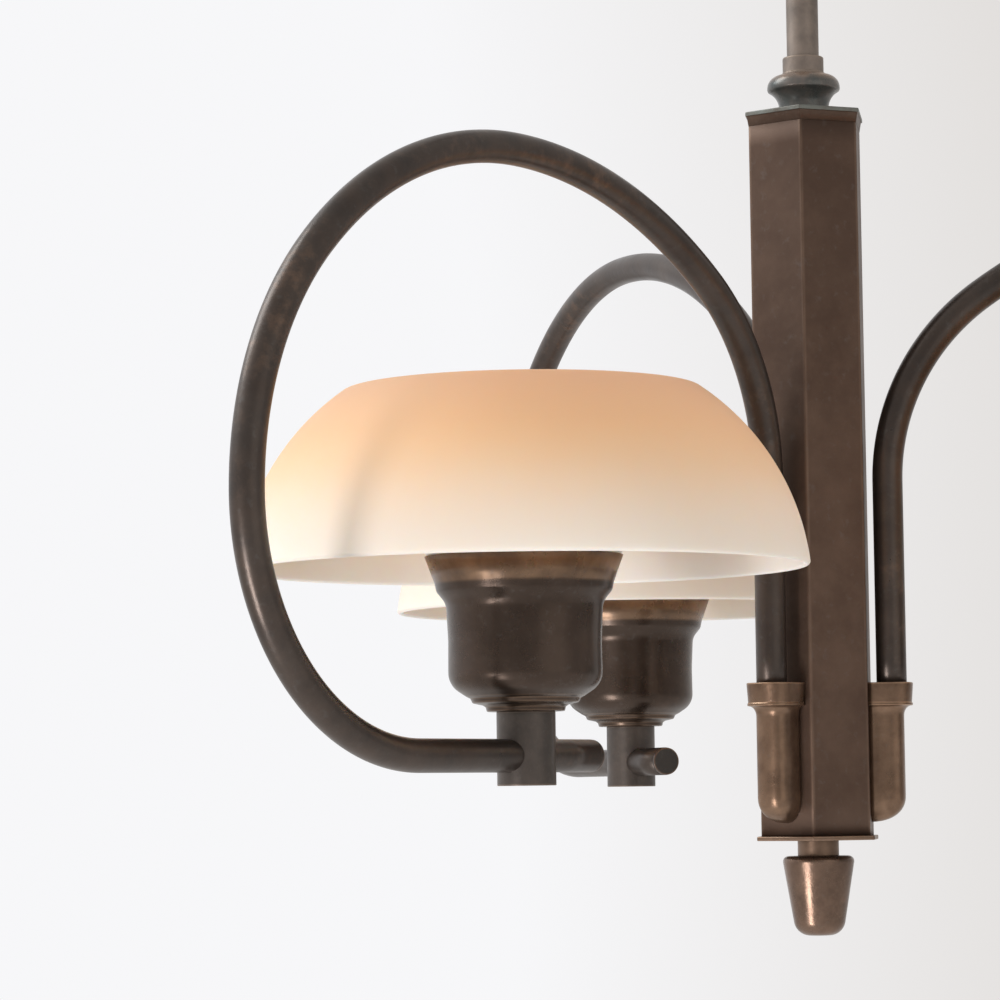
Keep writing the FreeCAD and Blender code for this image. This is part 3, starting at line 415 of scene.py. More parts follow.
SCREW_RADIUS, HEAD_FOOT, HEAD_RADIUS, HEAD_FACE = 1.9, 14.3, 4.0, 20.3
KNURLS, KNURL_FROM, KNURL_TO, KNURL_DEPTH, SCREW_SIDES = 24, 15.0, 19.6, 0.035, 120
bright = aged_brass("turned_brass", (0.36, 0.24, 0.11), (0.55, 0.39, 0.18), (0.7, 0.5, 0.25),
                    metallic=1.0, rough=(0.25, 0.42), blotch=80.0)
outline, _ = eased([
    (0, CANOPY_BORE, 0), (SCREW_RADIUS, CANOPY_BORE, 0.2), (SCREW_RADIUS, HEAD_FOOT, 0.2),
    (HEAD_RADIUS - 0.4, HEAD_FOOT, 0.4), (HEAD_RADIUS, HEAD_FOOT + 0.9, 0.3),
    (HEAD_RADIUS, HEAD_FACE - 0.9, 0.4), (HEAD_RADIUS - 0.8, HEAD_FACE, 0.5), (0, HEAD_FACE, 0)])
thumb = spun(outline, SCREW_SIDES)
teeth = np.sign(np.sin(np.linspace(0, 2 * KNURLS * np.pi, SCREW_SIDES, endpoint=False)))
knurl = 1 + KNURL_DEPTH * teeth[None, :, None]
on_head = ((outline[:, 1] > KNURL_FROM) & (outline[:, 1] < KNURL_TO))[:, None, None]
thumb[:, :, :2] = np.where(on_head, thumb[:, :, :2] * knurl * 0.97, thumb[:, :, :2])
thumb = thumb[:, :, [2, 0, 1]]
thumb[:, :, 2] += foot + COLLAR_HEIGHT / 2
dress(skin("canopy_thumb_screw", thumb), bright, "bright_brass", "canopy", "canopy_grub_screw")

# ---- Column ------------------------------------------------------------------------------------
# Six strips of brass mitred into a tube, matt brown, under a cap plate with a short sloping
# skirt and on a thin base plate. A long rod inside pulls the plates together.

FOOT, COLUMN_TOP, COLUMN_FLATS, COLUMN_WALL = -685.0, -350.0, 50.0, 2.0
CAP_TOP, CAP_FLATS, CAP_SKIRT, CAP_BORE = ROD_BOTTOM + 16.0, COLUMN_FLATS + 2.8, 4.6, 8.0
BASE_FLATS, PLATE, BASE_BORE = COLUMN_FLATS + 4.0, 2.0, 5.2


def hexagon_rings(levels, rounding=0.7):
    """Rows of rings: at each level (width across flats, z) a hexagon with small round corners,
    made of six arcs about the corners of a smaller hexagon. Also 1 on the corners and 0 on the
    flats."""
    turn = np.radians(np.array([0.0, 0.0, 3.0, 15.0, 30.0, 45.0, 57.0, 60.0, 60.0]))
    aside = np.array([-3.0, -1.0, 0, 0, 0, 0, 0, 1.0, 3.0])
    sector = np.radians(np.arange(6) * 60.0)[:, None]
    normal = sector + turn
    rows = []
    for flats, z in levels:
        curve = min(rounding, flats / 6)
        corner = (flats / 2 - curve) / math.cos(math.radians(30))
        slide = np.clip(aside, -flats / 5, flats / 5)
        x = corner * np.cos(sector + math.radians(30)) + curve * np.cos(normal) - slide * np.sin(normal)
        y = corner * np.sin(sector + math.radians(30)) + curve * np.sin(normal) + slide * np.cos(normal)
        rows.append(np.stack([x.reshape(-1), y.reshape(-1), np.full(x.size, z)], -1))
    on_corner = np.tile(np.abs(aside) < 0.5, 6).astype(float)
    return np.array(rows), on_corner


column_brass = aged_brass("column_brass", (0.080, 0.048, 0.034), (0.113, 0.071, 0.051), (0.27, 0.18, 0.13),
                          metallic=0.75, rough=(0.42, 0.54), blotch=26.0, patches=0.15, bump=0.10)
heights = np.linspace(FOOT, COLUMN_TOP, 24)
levels = [(COLUMN_FLATS, z) for z in heights]
levels += [(COLUMN_FLATS - 2 * COLUMN_WALL, z) for z in heights[::-1]]
shell, on_corner = hexagon_rings(levels)
dress(skin("column_shell", shell, looped=True, wear=on_corner[None, :] * 0.35), column_brass, "dark_brass",
      "frame", "column_tube")

edge_brass = aged_brass("cap_brass", (0.072, 0.044, 0.031), (0.105, 0.068, 0.050), (0.17, 0.18, 0.165),
                        metallic=0.75, rough=(0.38, 0.5), blotch=60.0, patches=0.1)
skirt_inside = COLUMN_FLATS / 2 + 0.03
outline, _ = eased([
    (CAP_BORE, COLUMN_TOP + 0.05, 0), (skirt_inside, COLUMN_TOP + 0.05, 0),
    (skirt_inside, COLUMN_TOP - CAP_SKIRT, 0), (skirt_inside + 0.03, COLUMN_TOP - CAP_SKIRT, 0),
    (CAP_FLATS / 2 - 0.6, COLUMN_TOP - 0.1, 0.2), (CAP_FLATS / 2, COLUMN_TOP + 0.1, 0.15),
    (CAP_FLATS / 2, CAP_TOP, 0.5), (CAP_BORE, CAP_TOP, 0)])
plate, _ = hexagon_rings([(2 * r, z) for r, z in outline])
on_plate = (outline[:, 1] > COLUMN_TOP + 0.06).astype(float)
dress(skin("cap_plate", plate, looped=True, wear=on_plate[:, None]), edge_brass, "dark_brass",
      "frame", "column_cap")

base_brass = aged_brass("base_brass", (0.11, 0.070, 0.049), (0.19, 0.125, 0.088), (0.36, 0.24, 0.165),
                        metallic=0.8, rough=(0.36, 0.48), blotch=45.0)
outline, sharp = eased([(BASE_BORE, FOOT, 0), (BASE_FLATS / 2, FOOT, 0.5),
                        (BASE_FLATS / 2, FOOT - PLATE, 0.5), (BASE_BORE, FOOT - PLATE, 0)])
plate, _ = hexagon_rings([(2 * r, z) for r, z in outline])
dress(skin("base_plate", plate, looped=True, wear=sharp[:, None] * 0.6), base_brass, "dark_brass",
      "frame", "column_base")

# ---- Knob, sleeve and finial -------------------------------------------------------------------
# Turned brass. The flared knob sits on the cap under a short sleeve with a set screw, and the
# acorn below the base plate is the nut that holds the column together.

KNOB_HEIGHT, KNOB_FOOT_RADIUS, KNOB_RADIUS, KNOB_BORE = 18.6, 11.6, 17.0, 7.6
SLEEVE_HEIGHT, SLEEVE_RADIUS, SLEEVE_BEAD, SLEEVE_BORE = 8.8, 9.6, 10.2, 7.55
SET_SCREW_TURN, SET_SCREW_HEIGHT = math.radians(-98.0), 5.4
NECK_HEIGHT, NECK_RADIUS, NECK_BORE = 7.2, 9.5, 5.1
ACORN_HEIGHT, ACORN_TOP_RADIUS, ACORN_TIP_RADIUS = 36.6, 16.9, 10.8

knob_brass = aged_brass("knob_brass", (0.075, 0.083, 0.080), (0.155, 0.137, 0.125), (0.34, 0.22, 0.15),
                        metallic=0.55, rough=(0.22, 0.36), blotch=70.0, lines=0.4)
flare = bow((KNOB_FOOT_RADIUS, CAP_TOP + 3.0), (16.7, CAP_TOP + 11.5), -1.4, 14)
brow = bow((KNOB_RADIUS, CAP_TOP + 13.1), (10.6, CAP_TOP + KNOB_HEIGHT), 1.9, 14)
outline = np.vstack([
    [(KNOB_BORE, CAP_TOP), (KNOB_FOOT_RADIUS - 0.2, CAP_TOP), (KNOB_FOOT_RADIUS, CAP_TOP + 0.3)], flare,
    [(KNOB_RADIUS, CAP_TOP + 12.2)], brow, [(KNOB_BORE, CAP_TOP + KNOB_HEIGHT)]])
above_cap = outline[:, 1] - CAP_TOP
handled = np.clip((above_cap - 14.5) / 3.5, 0, 1) + np.clip((1.5 - above_cap) / 1.5, 0, 1)
dress(skin("turned_knob", spun(outline), looped=True, wear=handled[:, None] * 0.8), knob_brass,
      "dark_brass", "frame", "top_knob")

sleeve_foot = CAP_TOP + KNOB_HEIGHT
sleeve_top = sleeve_foot + SLEEVE_HEIGHT
outline, sharp = eased([
    (SLEEVE_BORE, sleeve_foot, 0), (SLEEVE_BEAD, sleeve_foot, 0.5), (SLEEVE_BEAD, sleeve_foot + 1.3, 0.5),
    (SLEEVE_RADIUS, sleeve_foot + 1.4, 0.2), (SLEEVE_RADIUS, sleeve_top, 0.7), (SLEEVE_BORE, sleeve_top, 0)])
dress(skin("knob_sleeve", spun(outline), looped=True, wear=sharp[:, None] * 0.4), rod_brass,
      "dark_brass", "frame", "rod_sleeve")

outline, _ = eased([(0, 8.0, 0), (1.5, 8.0, 0.1), (1.5, 9.45, 0.25), (0.55, 9.45, 0.1),
                    (0.5, 8.7, 0.1), (0, 8.7, 0)])
side, rise, out = np.moveaxis(spun(outline, 32), -1, 0)
screw = np.stack([out * math.cos(SET_SCREW_TURN) - side * math.sin(SET_SCREW_TURN),
                  out * math.sin(SET_SCREW_TURN) + side * math.cos(SET_SCREW_TURN),
                  rise + sleeve_foot + SET_SCREW_HEIGHT], -1)
dress(skin("sleeve_set_screw", screw), knob_brass, "dark_brass", "frame")

neck_top = FOOT - PLATE
acorn_top = neck_top - NECK_HEIGHT
outline, _ = eased([(NECK_BORE, acorn_top, 0), (NECK_RADIUS, acorn_top, 0.3),
                    (NECK_RADIUS, neck_top, 0.3), (NECK_BORE, neck_top, 0)])
dress(skin("neck_ring", spun(outline), looped=True, wear=0.35), base_brass, "dark_brass", "frame",
      "finial_neck")

acorn_brass = aged_brass("acorn_brass", (0.105, 0.068, 0.050), (0.18, 0.118, 0.086), (0.36, 0.23, 0.16),
                         metallic=0.85, rough=(0.22, 0.33), blotch=55.0, patches=0.4, bump=0.16)
outline, _ = eased([
    (0, acorn_top, 0), (ACORN_TOP_RADIUS, acorn_top, 2.6),
    (ACORN_TIP_RADIUS, acorn_top - ACORN_HEIGHT, 7.4), (0, acorn_top - ACORN_HEIGHT, 0)], sweep=5.0)
dress(skin("acorn", spun(outline, 128)), acorn_brass, "worn_brass", "frame", "finial")

# ---- Cast sockets ------------------------------------------------------------------------------
# Three brass castings on every second face of the column: a thumb-shaped body with a collar that the arm is
# soldered into, a little rubbed all over.
# The brighter copper along the collar's edges is partly rubbed brass and partly painted highlight where the
# edges catch the light.

FACE = COLUMN_FLATS / 2
LEG_X = FACE + 10.4
THIRDS = (("a", 0.0), ("b", 120.0), ("c", 240.0))
BODY_WIDE, BODY_FRONT, THUMB_LOW, THUMB_ROUND = 8.1, 15.8, FOOT + 6.1, 12.0
SEAT, COVE, COVE_SIDE, COVE_FRONT = FOOT + 59.6, 4.6, 2.6, 3.6
COLLAR_HIGH, COLLAR_STRETCH = 10.6, 1.33


def turned_by(grid, degrees):
    """The same points, turned about the column's axis."""
    c, s = math.cos(math.radians(degrees)), math.sin(math.radians(degrees))
    x, y, z = np.moveaxis(grid, -1, 0)
    return np.stack([x * c - y * s, x * s + y * c, z], -1)


def thumb_rings(levels, squareness=0.72):
    """Rows of rings up a bar on the column's face: at each level (z, half width, front) the ring
    runs along the face, out along one flank, round a blunt nose and back."""
    t = np.linspace(-np.pi / 2, np.pi / 2, 41)
    blunt_cos = np.abs(np.cos(t)) ** squareness
    blunt_sin = np.sign(np.sin(t)) * np.abs(np.sin(t)) ** squareness
    flank = np.linspace(0, 1, 5)[:-1]
    face = np.linspace(1, -1, 7)[1:-1]
    run = np.concatenate([flank, np.ones(41), flank[::-1], np.zeros(5)])
    nose = np.concatenate([np.zeros(4), blunt_cos, np.zeros(9)])
    side = np.concatenate([-np.ones(4), blunt_sin, np.ones(4), face])
    rows = []
    for z, wide, front in levels:
        depth = min(front, wide)
        out = FACE + run * (front - depth) + nose * depth
        rows.append(np.stack([out, side * wide, np.full(len(run), z)], -1))
    return np.array(rows)


levels, rub_and_highlight = [], []
for u in np.linspace(0, 1, 15):
    height = 1 - math.cos(u * math.pi / 2)
    swell = (1 - (1 - height) ** 2.2) ** (1 / 2.2)
    levels.append((THUMB_LOW + THUMB_ROUND * height, BODY_WIDE * swell, BODY_FRONT * swell))
    rub_and_highlight.append(0.45)
for z in np.linspace(THUMB_LOW + THUMB_ROUND + 3, SEAT - COVE - 0.4, 8):
    levels.append((z, BODY_WIDE, BODY_FRONT))
    rub_and_highlight.append(0.3)
for u in np.linspace(0.1, 1, 8):
    flare = 1 - math.cos(u * math.pi / 2)
    levels.append((SEAT - COVE + COVE * math.sin(u * math.pi / 2),
                   BODY_WIDE + COVE_SIDE * flare, BODY_FRONT + COVE_FRONT * flare))
    rub_and_highlight.append(0.3 + 0.2 * u)
collar, collar_sharp = eased([
    (BODY_WIDE + COVE_SIDE, SEAT, 0), (BODY_WIDE + 3.1, SEAT + 0.1, 0.3),
    (BODY_WIDE + 3.1, SEAT + 1.1, 0.4), (BODY_WIDE + 2.8, SEAT + 1.5, 0.3),
    (BODY_WIDE + 3.3, SEAT + COLLAR_HIGH, 0.45), (BODY_WIDE + 1.5, SEAT + COLLAR_HIGH, 0)])
# The collar's edges get the most copper: partly rubbed brass, partly painted highlight where they catch the
# light.
for (wide, z), edge in zip(collar[1:], collar_sharp[1:]):
    levels.append((z, wide, BODY_FRONT + (wide - BODY_WIDE) * COLLAR_STRETCH))
    rub_and_highlight.append(0.25 + 0.75 * edge)
casting = thumb_rings(levels)
middle = np.broadcast_to(np.array([LEG_X, 0.0, SEAT + COLLAR_HIGH]), casting[-1].shape)
casting = np.concatenate([casting, (0.5 * casting[-1] + 0.5 * middle)[None], middle[None]])
rub_and_highlight += [0.2, 0.2]
socket_brass = aged_brass("socket_brass", (0.078, 0.045, 0.030), (0.158, 0.099, 0.066), (0.48, 0.31, 0.20),
                          metallic=0.8, rough=(0.25, 0.38), blotch=60.0, wear_gain=0.7)
rubbed = np.array(rub_and_highlight)[:, None]
for letter, degrees in THIRDS:
    dress(skin("cast_socket_" + letter, turned_by(casting, degrees), wear=rubbed), socket_brass,
          "worn_brass", "frame", "arm_socket_" + letter)

# ---- Bent arms ---------------------------------------------------------------------------------
# Brass tube of 14 mm, bent in one plane: up out of the socket, over the shade, down outside it
# and back under it. A flat plug closes the end.

ARM_RADIUS, PLUG_RADIUS, PLUG_THICKNESS = 7.0, 6.9, 1.7
TEE_AXIS = FOOT + 36.8
ARM_REACH, STUB = 217.0, 43.6
BENDS = ((105.0, 55.0), (240.0, 35.0), (182.0, 46.0), (142.0, 44.0), (102.0, 90.0))


def level_drop(radius, start, end):
    """Height between two places on a bend, from how steeply its centreline leans at each."""
    return radius * (math.cos(math.radians(start)) - math.cos(math.radians(end)))


(leg, _), (rising, rise_turn), (over, over_turn), (falling, _), (under, _) = BENDS
crest = TEE_AXIS + level_drop(over, 0, over_turn) + level_drop(falling, over_turn, 90) + under
leg_top = crest - level_drop(rising, 0, rise_turn) - level_drop(leg, rise_turn, 90)


def bent_path(x, z, heading, moves, step=1.25):
    """Centreline in the X-Z plane from straight lengths (length, 0) and bends (radius, turn),
    turning clockwise. Returns places and headings in radians."""
    places, headings = [], []
    for size, turn in moves:
        if turn == 0:
            t = np.linspace(0, size, max(3, int(size / 15)))
            places.append(np.stack([x + t * math.cos(heading), z + t * math.sin(heading)], -1))
            headings.append(np.full(len(t), heading))
        else:
            angle = np.radians(np.linspace(0, turn, int(turn / step) + 1))
            cx, cz = x + size * math.sin(heading), z - size * math.cos(heading)
            now = heading - angle
            places.append(np.stack([cx - size * np.sin(now), cz + size * np.cos(now)], -1))
            headings.append(now)
        x, z = places[-1][-1]
        heading = headings[-1][-1]
    places = [places[0]] + [part[1:] for part in places[1:]]
    headings = [headings[0]] + [part[1:] for part in headings[1:]]
    return np.vstack(places), np.concatenate(headings)


def swept(places, headings, radius, steps=72):
    """A round section carried along a path in the X-Z plane, closed by a pole at each end."""
    a = np.linspace(0, 2 * np.pi, steps, endpoint=False)
    normal = np.stack([-np.sin(headings), np.cos(headings)], -1)
    x = places[:, :1] + radius * np.cos(a) * normal[:, :1]
    z = places[:, 1:] + radius * np.cos(a) * normal[:, 1:]
    y = np.broadcast_to(radius * np.sin(a), x.shape)
    tube = np.stack([x, y, z], -1)
    ends = [np.repeat(tube[k].mean(0)[None], steps, 0)[None] for k in (0, -1)]
    return np.concatenate([ends[0], tube, ends[1]])


rise = leg_top - SEAT
places, _ = bent_path(LEG_X, SEAT, math.pi / 2, [(rise, 0), *BENDS])
run_back = places[-1][0] - (ARM_REACH - STUB)
places, headings = bent_path(LEG_X, SEAT, math.pi / 2, [(rise, 0), *BENDS, (run_back, 0)])
arm = swept(places, headings, ARM_RADIUS)
arm_brass = aged_brass("arm_brass", (0.034, 0.030, 0.028), (0.058, 0.050, 0.045), (0.30, 0.17, 0.105),
                       metallic=0.65, rough=(0.27, 0.40), blotch=30.0, patches=0.75)
outline, plug_sharp = eased([(0, -0.3, 0), (PLUG_RADIUS, -0.3, 0.2),
                             (PLUG_RADIUS, PLUG_THICKNESS, 0.4), (0, PLUG_THICKNESS, 0)])
side, up, out = np.moveaxis(spun(outline, 64), -1, 0)
plug = np.stack([ARM_REACH - STUB - out, side, TEE_AXIS + up], -1)
for letter, degrees in THIRDS:
    dress(skin("bent_arm_" + letter, turned_by(arm, degrees), wear=0.1), arm_brass, "dark_brass",
          "frame", "arm_tube_" + letter)
    dress(skin("stub_plug_" + letter, turned_by(plug, degrees), wear=plug_sharp[:, None] * 0.5),
          arm_brass, "dark_brass", "frame", "end_plug_" + letter)

# ---- Tees --------------------------------------------------------------------------------------
# A short length of thick brass bar, drilled across for the arm and down its axis for the screwed
# tube that carries the cup.

TEE_RADIUS, TEE_FOOT, TEE_TOP = 12.4, TEE_AXIS - 12.5, TEE_AXIS + 18.5
tee_brass = aged_brass("tee_brass", (0.058, 0.048, 0.042), (0.088, 0.071, 0.061), (0.24, 0.175, 0.13),
                       metallic=0.5, rough=(0.32, 0.44), blotch=50.0, patches=0.15)
outline, sharp = eased([(0, TEE_FOOT, 0), (TEE_RADIUS, TEE_FOOT, 0.35), (TEE_RADIUS, TEE_TOP, 0.35),
                        (0, TEE_TOP, 0)])
stem = spun(outline, 96, (ARM_REACH, 0.0))
for letter, degrees in THIRDS:
    dress(skin("tee_stem_" + letter, turned_by(stem, degrees), wear=sharp[:, None] * 0.6), tee_brass,
          "dark_brass", "frame", "tee_" + letter)

# ---- Spun cups ---------------------------------------------------------------------------------
# Thin spun brass with fine turning lines: a stepped foot, a rounded bottom, a straight body and
# a flared band for the glass, from which the patina is rubbed down to copper.

CUP_HEIGHT, CUP_LIP_RADIUS, CUP_BORE, CUP_FLOOR = 65.2, 41.8, 5.05, 3.2
CUP_LIP = TEE_TOP + CUP_HEIGHT
outer, outer_sharp = eased([
    (CUP_BORE, TEE_TOP, 0), (16.4, TEE_TOP, 0.8), (16.8, TEE_TOP + 1.9, 0.9), (18.0, TEE_TOP + 2.7, 0.9),
    (22.4, TEE_TOP + 3.7, 1.2), (23.2, TEE_TOP + 5.6, 0.9), (25.0, TEE_TOP + 6.5, 1.4),
    (32.4, TEE_TOP + 11.5, 9.5), (32.2, TEE_TOP + 30.0, 60.0), (33.0, TEE_TOP + 45.6, 8.0),
    (37.0, TEE_TOP + 50.6, 3.2), (37.7, TEE_TOP + 54.0, 3.0), (CUP_LIP_RADIUS, CUP_LIP, 0.35)],
    sweep=6.0, shoulder=0.8)
inner, _ = eased([
    (40.5, CUP_LIP, 0), (36.8, TEE_TOP + 54.0, 2.0), (31.8, TEE_TOP + 44.5, 6.0),
    (30.8, TEE_TOP + 20.0, 5.0), (22.0, TEE_TOP + 8.4, 3.0),
    (16.4, TEE_TOP + CUP_FLOOR, 1.0), (CUP_BORE, TEE_TOP + CUP_FLOOR, 0)], sweep=10.0)
band = np.clip((outer[:, 1] - TEE_TOP - 53.2) / 1.2, 0, 1)
cup_wear = np.concatenate([np.maximum(band * 0.5, outer_sharp * 0.2), np.zeros(len(inner))])
cup = spun(np.vstack([outer, inner]), 144, (ARM_REACH, 0.0))
cup_brass = aged_brass("cup_brass", (0.045, 0.030, 0.022), (0.068, 0.047, 0.036), (0.36, 0.22, 0.13),
                       metallic=0.7, rough=(0.24, 0.33), blotch=34.0, patches=0.12, lines=0.6, bump=0.05)
for letter, degrees in THIRDS:
    dress(skin("spun_cup_" + letter, turned_by(cup, degrees), looped=True, wear=cup_wear[:, None]),
          cup_brass, "worn_brass", "frame", "cup_" + letter)

# ---- Lampholders and bulbs ---------------------------------------------------------------------
# Glazed white porcelain on the screwed tube, with a metal thread inside it, and a frosted bulb on
# a rolled screw cap. The thread winds round the cap once every few millimetres.

CUP_INSIDE = TEE_TOP + CUP_FLOOR
HOLDER_TOP, HOLDER_FLOOR = CUP_INSIDE + 46.0, CUP_INSIDE + 13.5
HOLDER_RADIUS, HOLDER_MOUTH, HOLDER_BORE = 19.0, 15.0, 5.1
CAP_FOOT, CAP_RADIUS, CAP_LENGTH = HOLDER_FLOOR + 2.3, 12.7, 27.4
THREAD_RADIUS, THREAD_DEPTH, THREAD_PITCH = 12.75, 0.42, 3.6
BULB_LENGTH, BALL, NECK_LEAN, NECK_PULL = 98.0, 27.5, 38.0, 16.0


def glazed(name, colour, rough, speck=0.06, coat=0.4):
    """Fired or moulded white stuff: one colour with a faint cloud and specks, and a smooth coat."""
    paint = bpy.data.materials.new(name)
    paint.use_nodes = True
    nodes, links = paint.node_tree.nodes, paint.node_tree.links
    shader = nodes["Principled BSDF"]
    where = nodes.new("ShaderNodeTexCoord")
    cloud = nodes.new("ShaderNodeTexNoise")
    cloud.inputs["Scale"].default_value = 90.0
    cloud.inputs["Detail"].default_value = 6
    links.new(where.outputs["Object"], cloud.inputs["Vector"])
    tint = nodes.new("ShaderNodeMix")
    tint.data_type = "RGBA"
    tint.inputs[6].default_value = (*(channel * (1 - speck * 2) for channel in colour), 1)
    tint.inputs[7].default_value = (*colour, 1)
    links.new(cloud.outputs["Fac"], tint.inputs["Factor"])
    links.new(tint.outputs[2], shader.inputs["Base Color"])
    shade = nodes.new("ShaderNodeMapRange")
    shade.inputs["To Min"].default_value = rough * 1.3
    shade.inputs["To Max"].default_value = rough * 0.8
    links.new(cloud.outputs["Fac"], shade.inputs["Value"])
    links.new(shade.outputs["Result"], shader.inputs["Roughness"])
    shader.inputs["Coat Weight"].default_value = coat
    return paint


porcelain = glazed("porcelain", (0.82, 0.80, 0.74), 0.35)
body, _ = eased([
    (HOLDER_BORE, CUP_INSIDE, 0), (8.5, CUP_INSIDE, 0.4), (8.5, CUP_INSIDE + 4.0, 1.0),
    (HOLDER_RADIUS, CUP_INSIDE + 9.0, 4.0), (HOLDER_RADIUS, CUP_INSIDE + 30, 0.6),
    (HOLDER_RADIUS - 0.6, CUP_INSIDE + 30.8, 0.4), (HOLDER_RADIUS, CUP_INSIDE + 31.6, 0.6),
    (HOLDER_RADIUS, HOLDER_TOP, 1.2), (HOLDER_MOUTH, HOLDER_TOP, 0.8), (HOLDER_MOUTH, HOLDER_FLOOR, 0.5),
    (HOLDER_BORE, HOLDER_FLOOR, 0)])
holder = spun(body, 96, (ARM_REACH, 0.0))

up = np.linspace(0, 1, 110)
z = CAP_FOOT + 2.0 + up * 25.0
angle = np.linspace(0, 2 * np.pi, 72, endpoint=False)
fade = np.clip(up / 0.12, 0, 1) * np.clip((0.86 - up) / 0.1, 0, 1)
phase = 2 * np.pi * (z[:, None] - CAP_FOOT) / THREAD_PITCH - angle[None]
thread = THREAD_RADIUS + THREAD_DEPTH * fade[:, None] * np.sin(phase)
cap_side = np.stack([ARM_REACH + thread * np.cos(angle), thread * np.sin(angle),
                     np.broadcast_to(z[:, None], thread.shape)], -1)
tip, _ = eased([(0, CAP_FOOT, 0), (4.0, CAP_FOOT, 0.8), (4.6, CAP_FOOT + 0.7, 0.3),
                (11.6, CAP_FOOT + 2.0, 0.5), (CAP_RADIUS, CAP_FOOT + 2.0, 0)])
crown, _ = eased([(CAP_RADIUS, CAP_FOOT + 27.0, 0), (12.3, CAP_FOOT + CAP_LENGTH, 0.1),
                  (0, CAP_FOOT + CAP_LENGTH, 0)])
screw_cap = np.concatenate([spun(tip, 72, (ARM_REACH, 0)), cap_side, spun(crown, 72, (ARM_REACH, 0))])
cap_metal = aged_brass("cap_metal", (0.55, 0.53, 0.48), (0.70, 0.68, 0.62), (0.8, 0.78, 0.72), metallic=1.0,
                       rough=(0.22, 0.36), blotch=90.0)

ball_middle = CAP_FOOT + BULB_LENGTH - BALL
t = np.linspace(0, 1, 22)
turn = np.radians(np.linspace(-NECK_LEAN, 90, 40))
ball = np.stack([BALL * np.cos(turn), ball_middle + BALL * np.sin(turn)], -1)
low = np.array([12.3, CAP_FOOT + 27.2])
lean = math.radians(NECK_LEAN)
start_pull = low + (0, NECK_PULL)
end_pull = ball[0] - NECK_PULL * np.array([math.sin(lean), math.cos(lean)])
neck = (np.outer((1 - t) ** 3, low) + np.outer(3 * t * (1 - t) ** 2, start_pull)
        + np.outer(3 * t ** 2 * (1 - t), end_pull) + np.outer(t ** 3, ball[0]))
bulb_outline = np.vstack([[(0, low[1])], neck[:-1], ball])
bulb = spun(bulb_outline, 96, (ARM_REACH, 0.0))
frosted = glazed("frosted_bulb", (0.88, 0.87, 0.84), 0.4, speck=0.02, coat=0.2)
frosted.node_tree.nodes["Principled BSDF"].inputs["Transmission Weight"].default_value = 0.3
for letter, degrees in THIRDS:
    dress(skin("porcelain_holder_" + letter, turned_by(holder, degrees), looped=True), porcelain,
          "holder", "frame", "lampholder_" + letter)
    dress(skin("screw_cap_" + letter, turned_by(screw_cap, degrees)), cap_metal, "bulb_cap",
          "bulb_" + letter, "bulb_cap_" + letter)
    dress(skin("frosted_bulb_" + letter, turned_by(bulb, degrees)), frosted, "bulb_glass",
          "bulb_" + letter, "bulb_glass_" + letter)

# ---- Folded shades -----------------------------------------------------------------------------
# One blown piece of etched opal glass each: a neck that stands in the cup, a funnel and bowl
# round the bulb, folded over at the top into a wide skirt. It is peach at the fold and fades to
# milk white at the rim.

GLASS = 3.0
RIM_RADIUS, RIM_LEAN, SKIRT_RADIUS = 120.0, 6.8, 105.0
FOLD_LEAN, FOLD_RADIUS = 55.0, 6.0
FUNNEL_LEAN, FUNNEL_LENGTH = 60.0, 8.8
RIM_HEIGHT = CUP_LIP - 4.0
BAND_FOOT_RADIUS, BAND_FOOT, CUP_WALL, GLASS_GAP = 37.9, 53.8, 1.2, 0.3


def circle_point(centre, radius, degrees):
    """A point on a circle in the profile's plane, 0 outward and 90 up."""
    turn = np.radians(degrees)
    return np.stack([centre[0] + radius * np.cos(turn), centre[1] + radius * np.sin(turn)], -1)


skirt = (RIM_RADIUS - SKIRT_RADIUS * math.cos(math.radians(RIM_LEAN)),
         RIM_HEIGHT - SKIRT_RADIUS * math.sin(math.radians(RIM_LEAN)))
fold = circle_point(skirt, SKIRT_RADIUS - FOLD_RADIUS, FOLD_LEAN)
wall_x = fold[0] - (FOLD_RADIUS - GLASS)
lip_x = CUP_LIP_RADIUS - CUP_WALL - GLASS_GAP
slope = (CUP_LIP_RADIUS - BAND_FOOT_RADIUS) / (CUP_HEIGHT - BAND_FOOT)
depth = CUP_HEIGHT - BAND_FOOT - 2 * GLASS_GAP
seat = (lip_x - slope * depth - GLASS_GAP, CUP_LIP - depth)
mouth = (lip_x + slope * GLASS / 2, CUP_LIP + GLASS / 2)
run = circle_point(mouth, FUNNEL_LENGTH, 90 - FUNNEL_LEAN)
bowl_turn = (wall_x - run[0]) / (1 - math.cos(math.radians(FUNNEL_LEAN)))
bowl = (wall_x - bowl_turn, run[1] + bowl_turn * math.sin(math.radians(FUNNEL_LEAN)))
inward = 90 + (90 - FUNNEL_LEAN + math.degrees(math.atan(1 / slope))) / 2
mouth_in = circle_point(mouth, GLASS, inward)

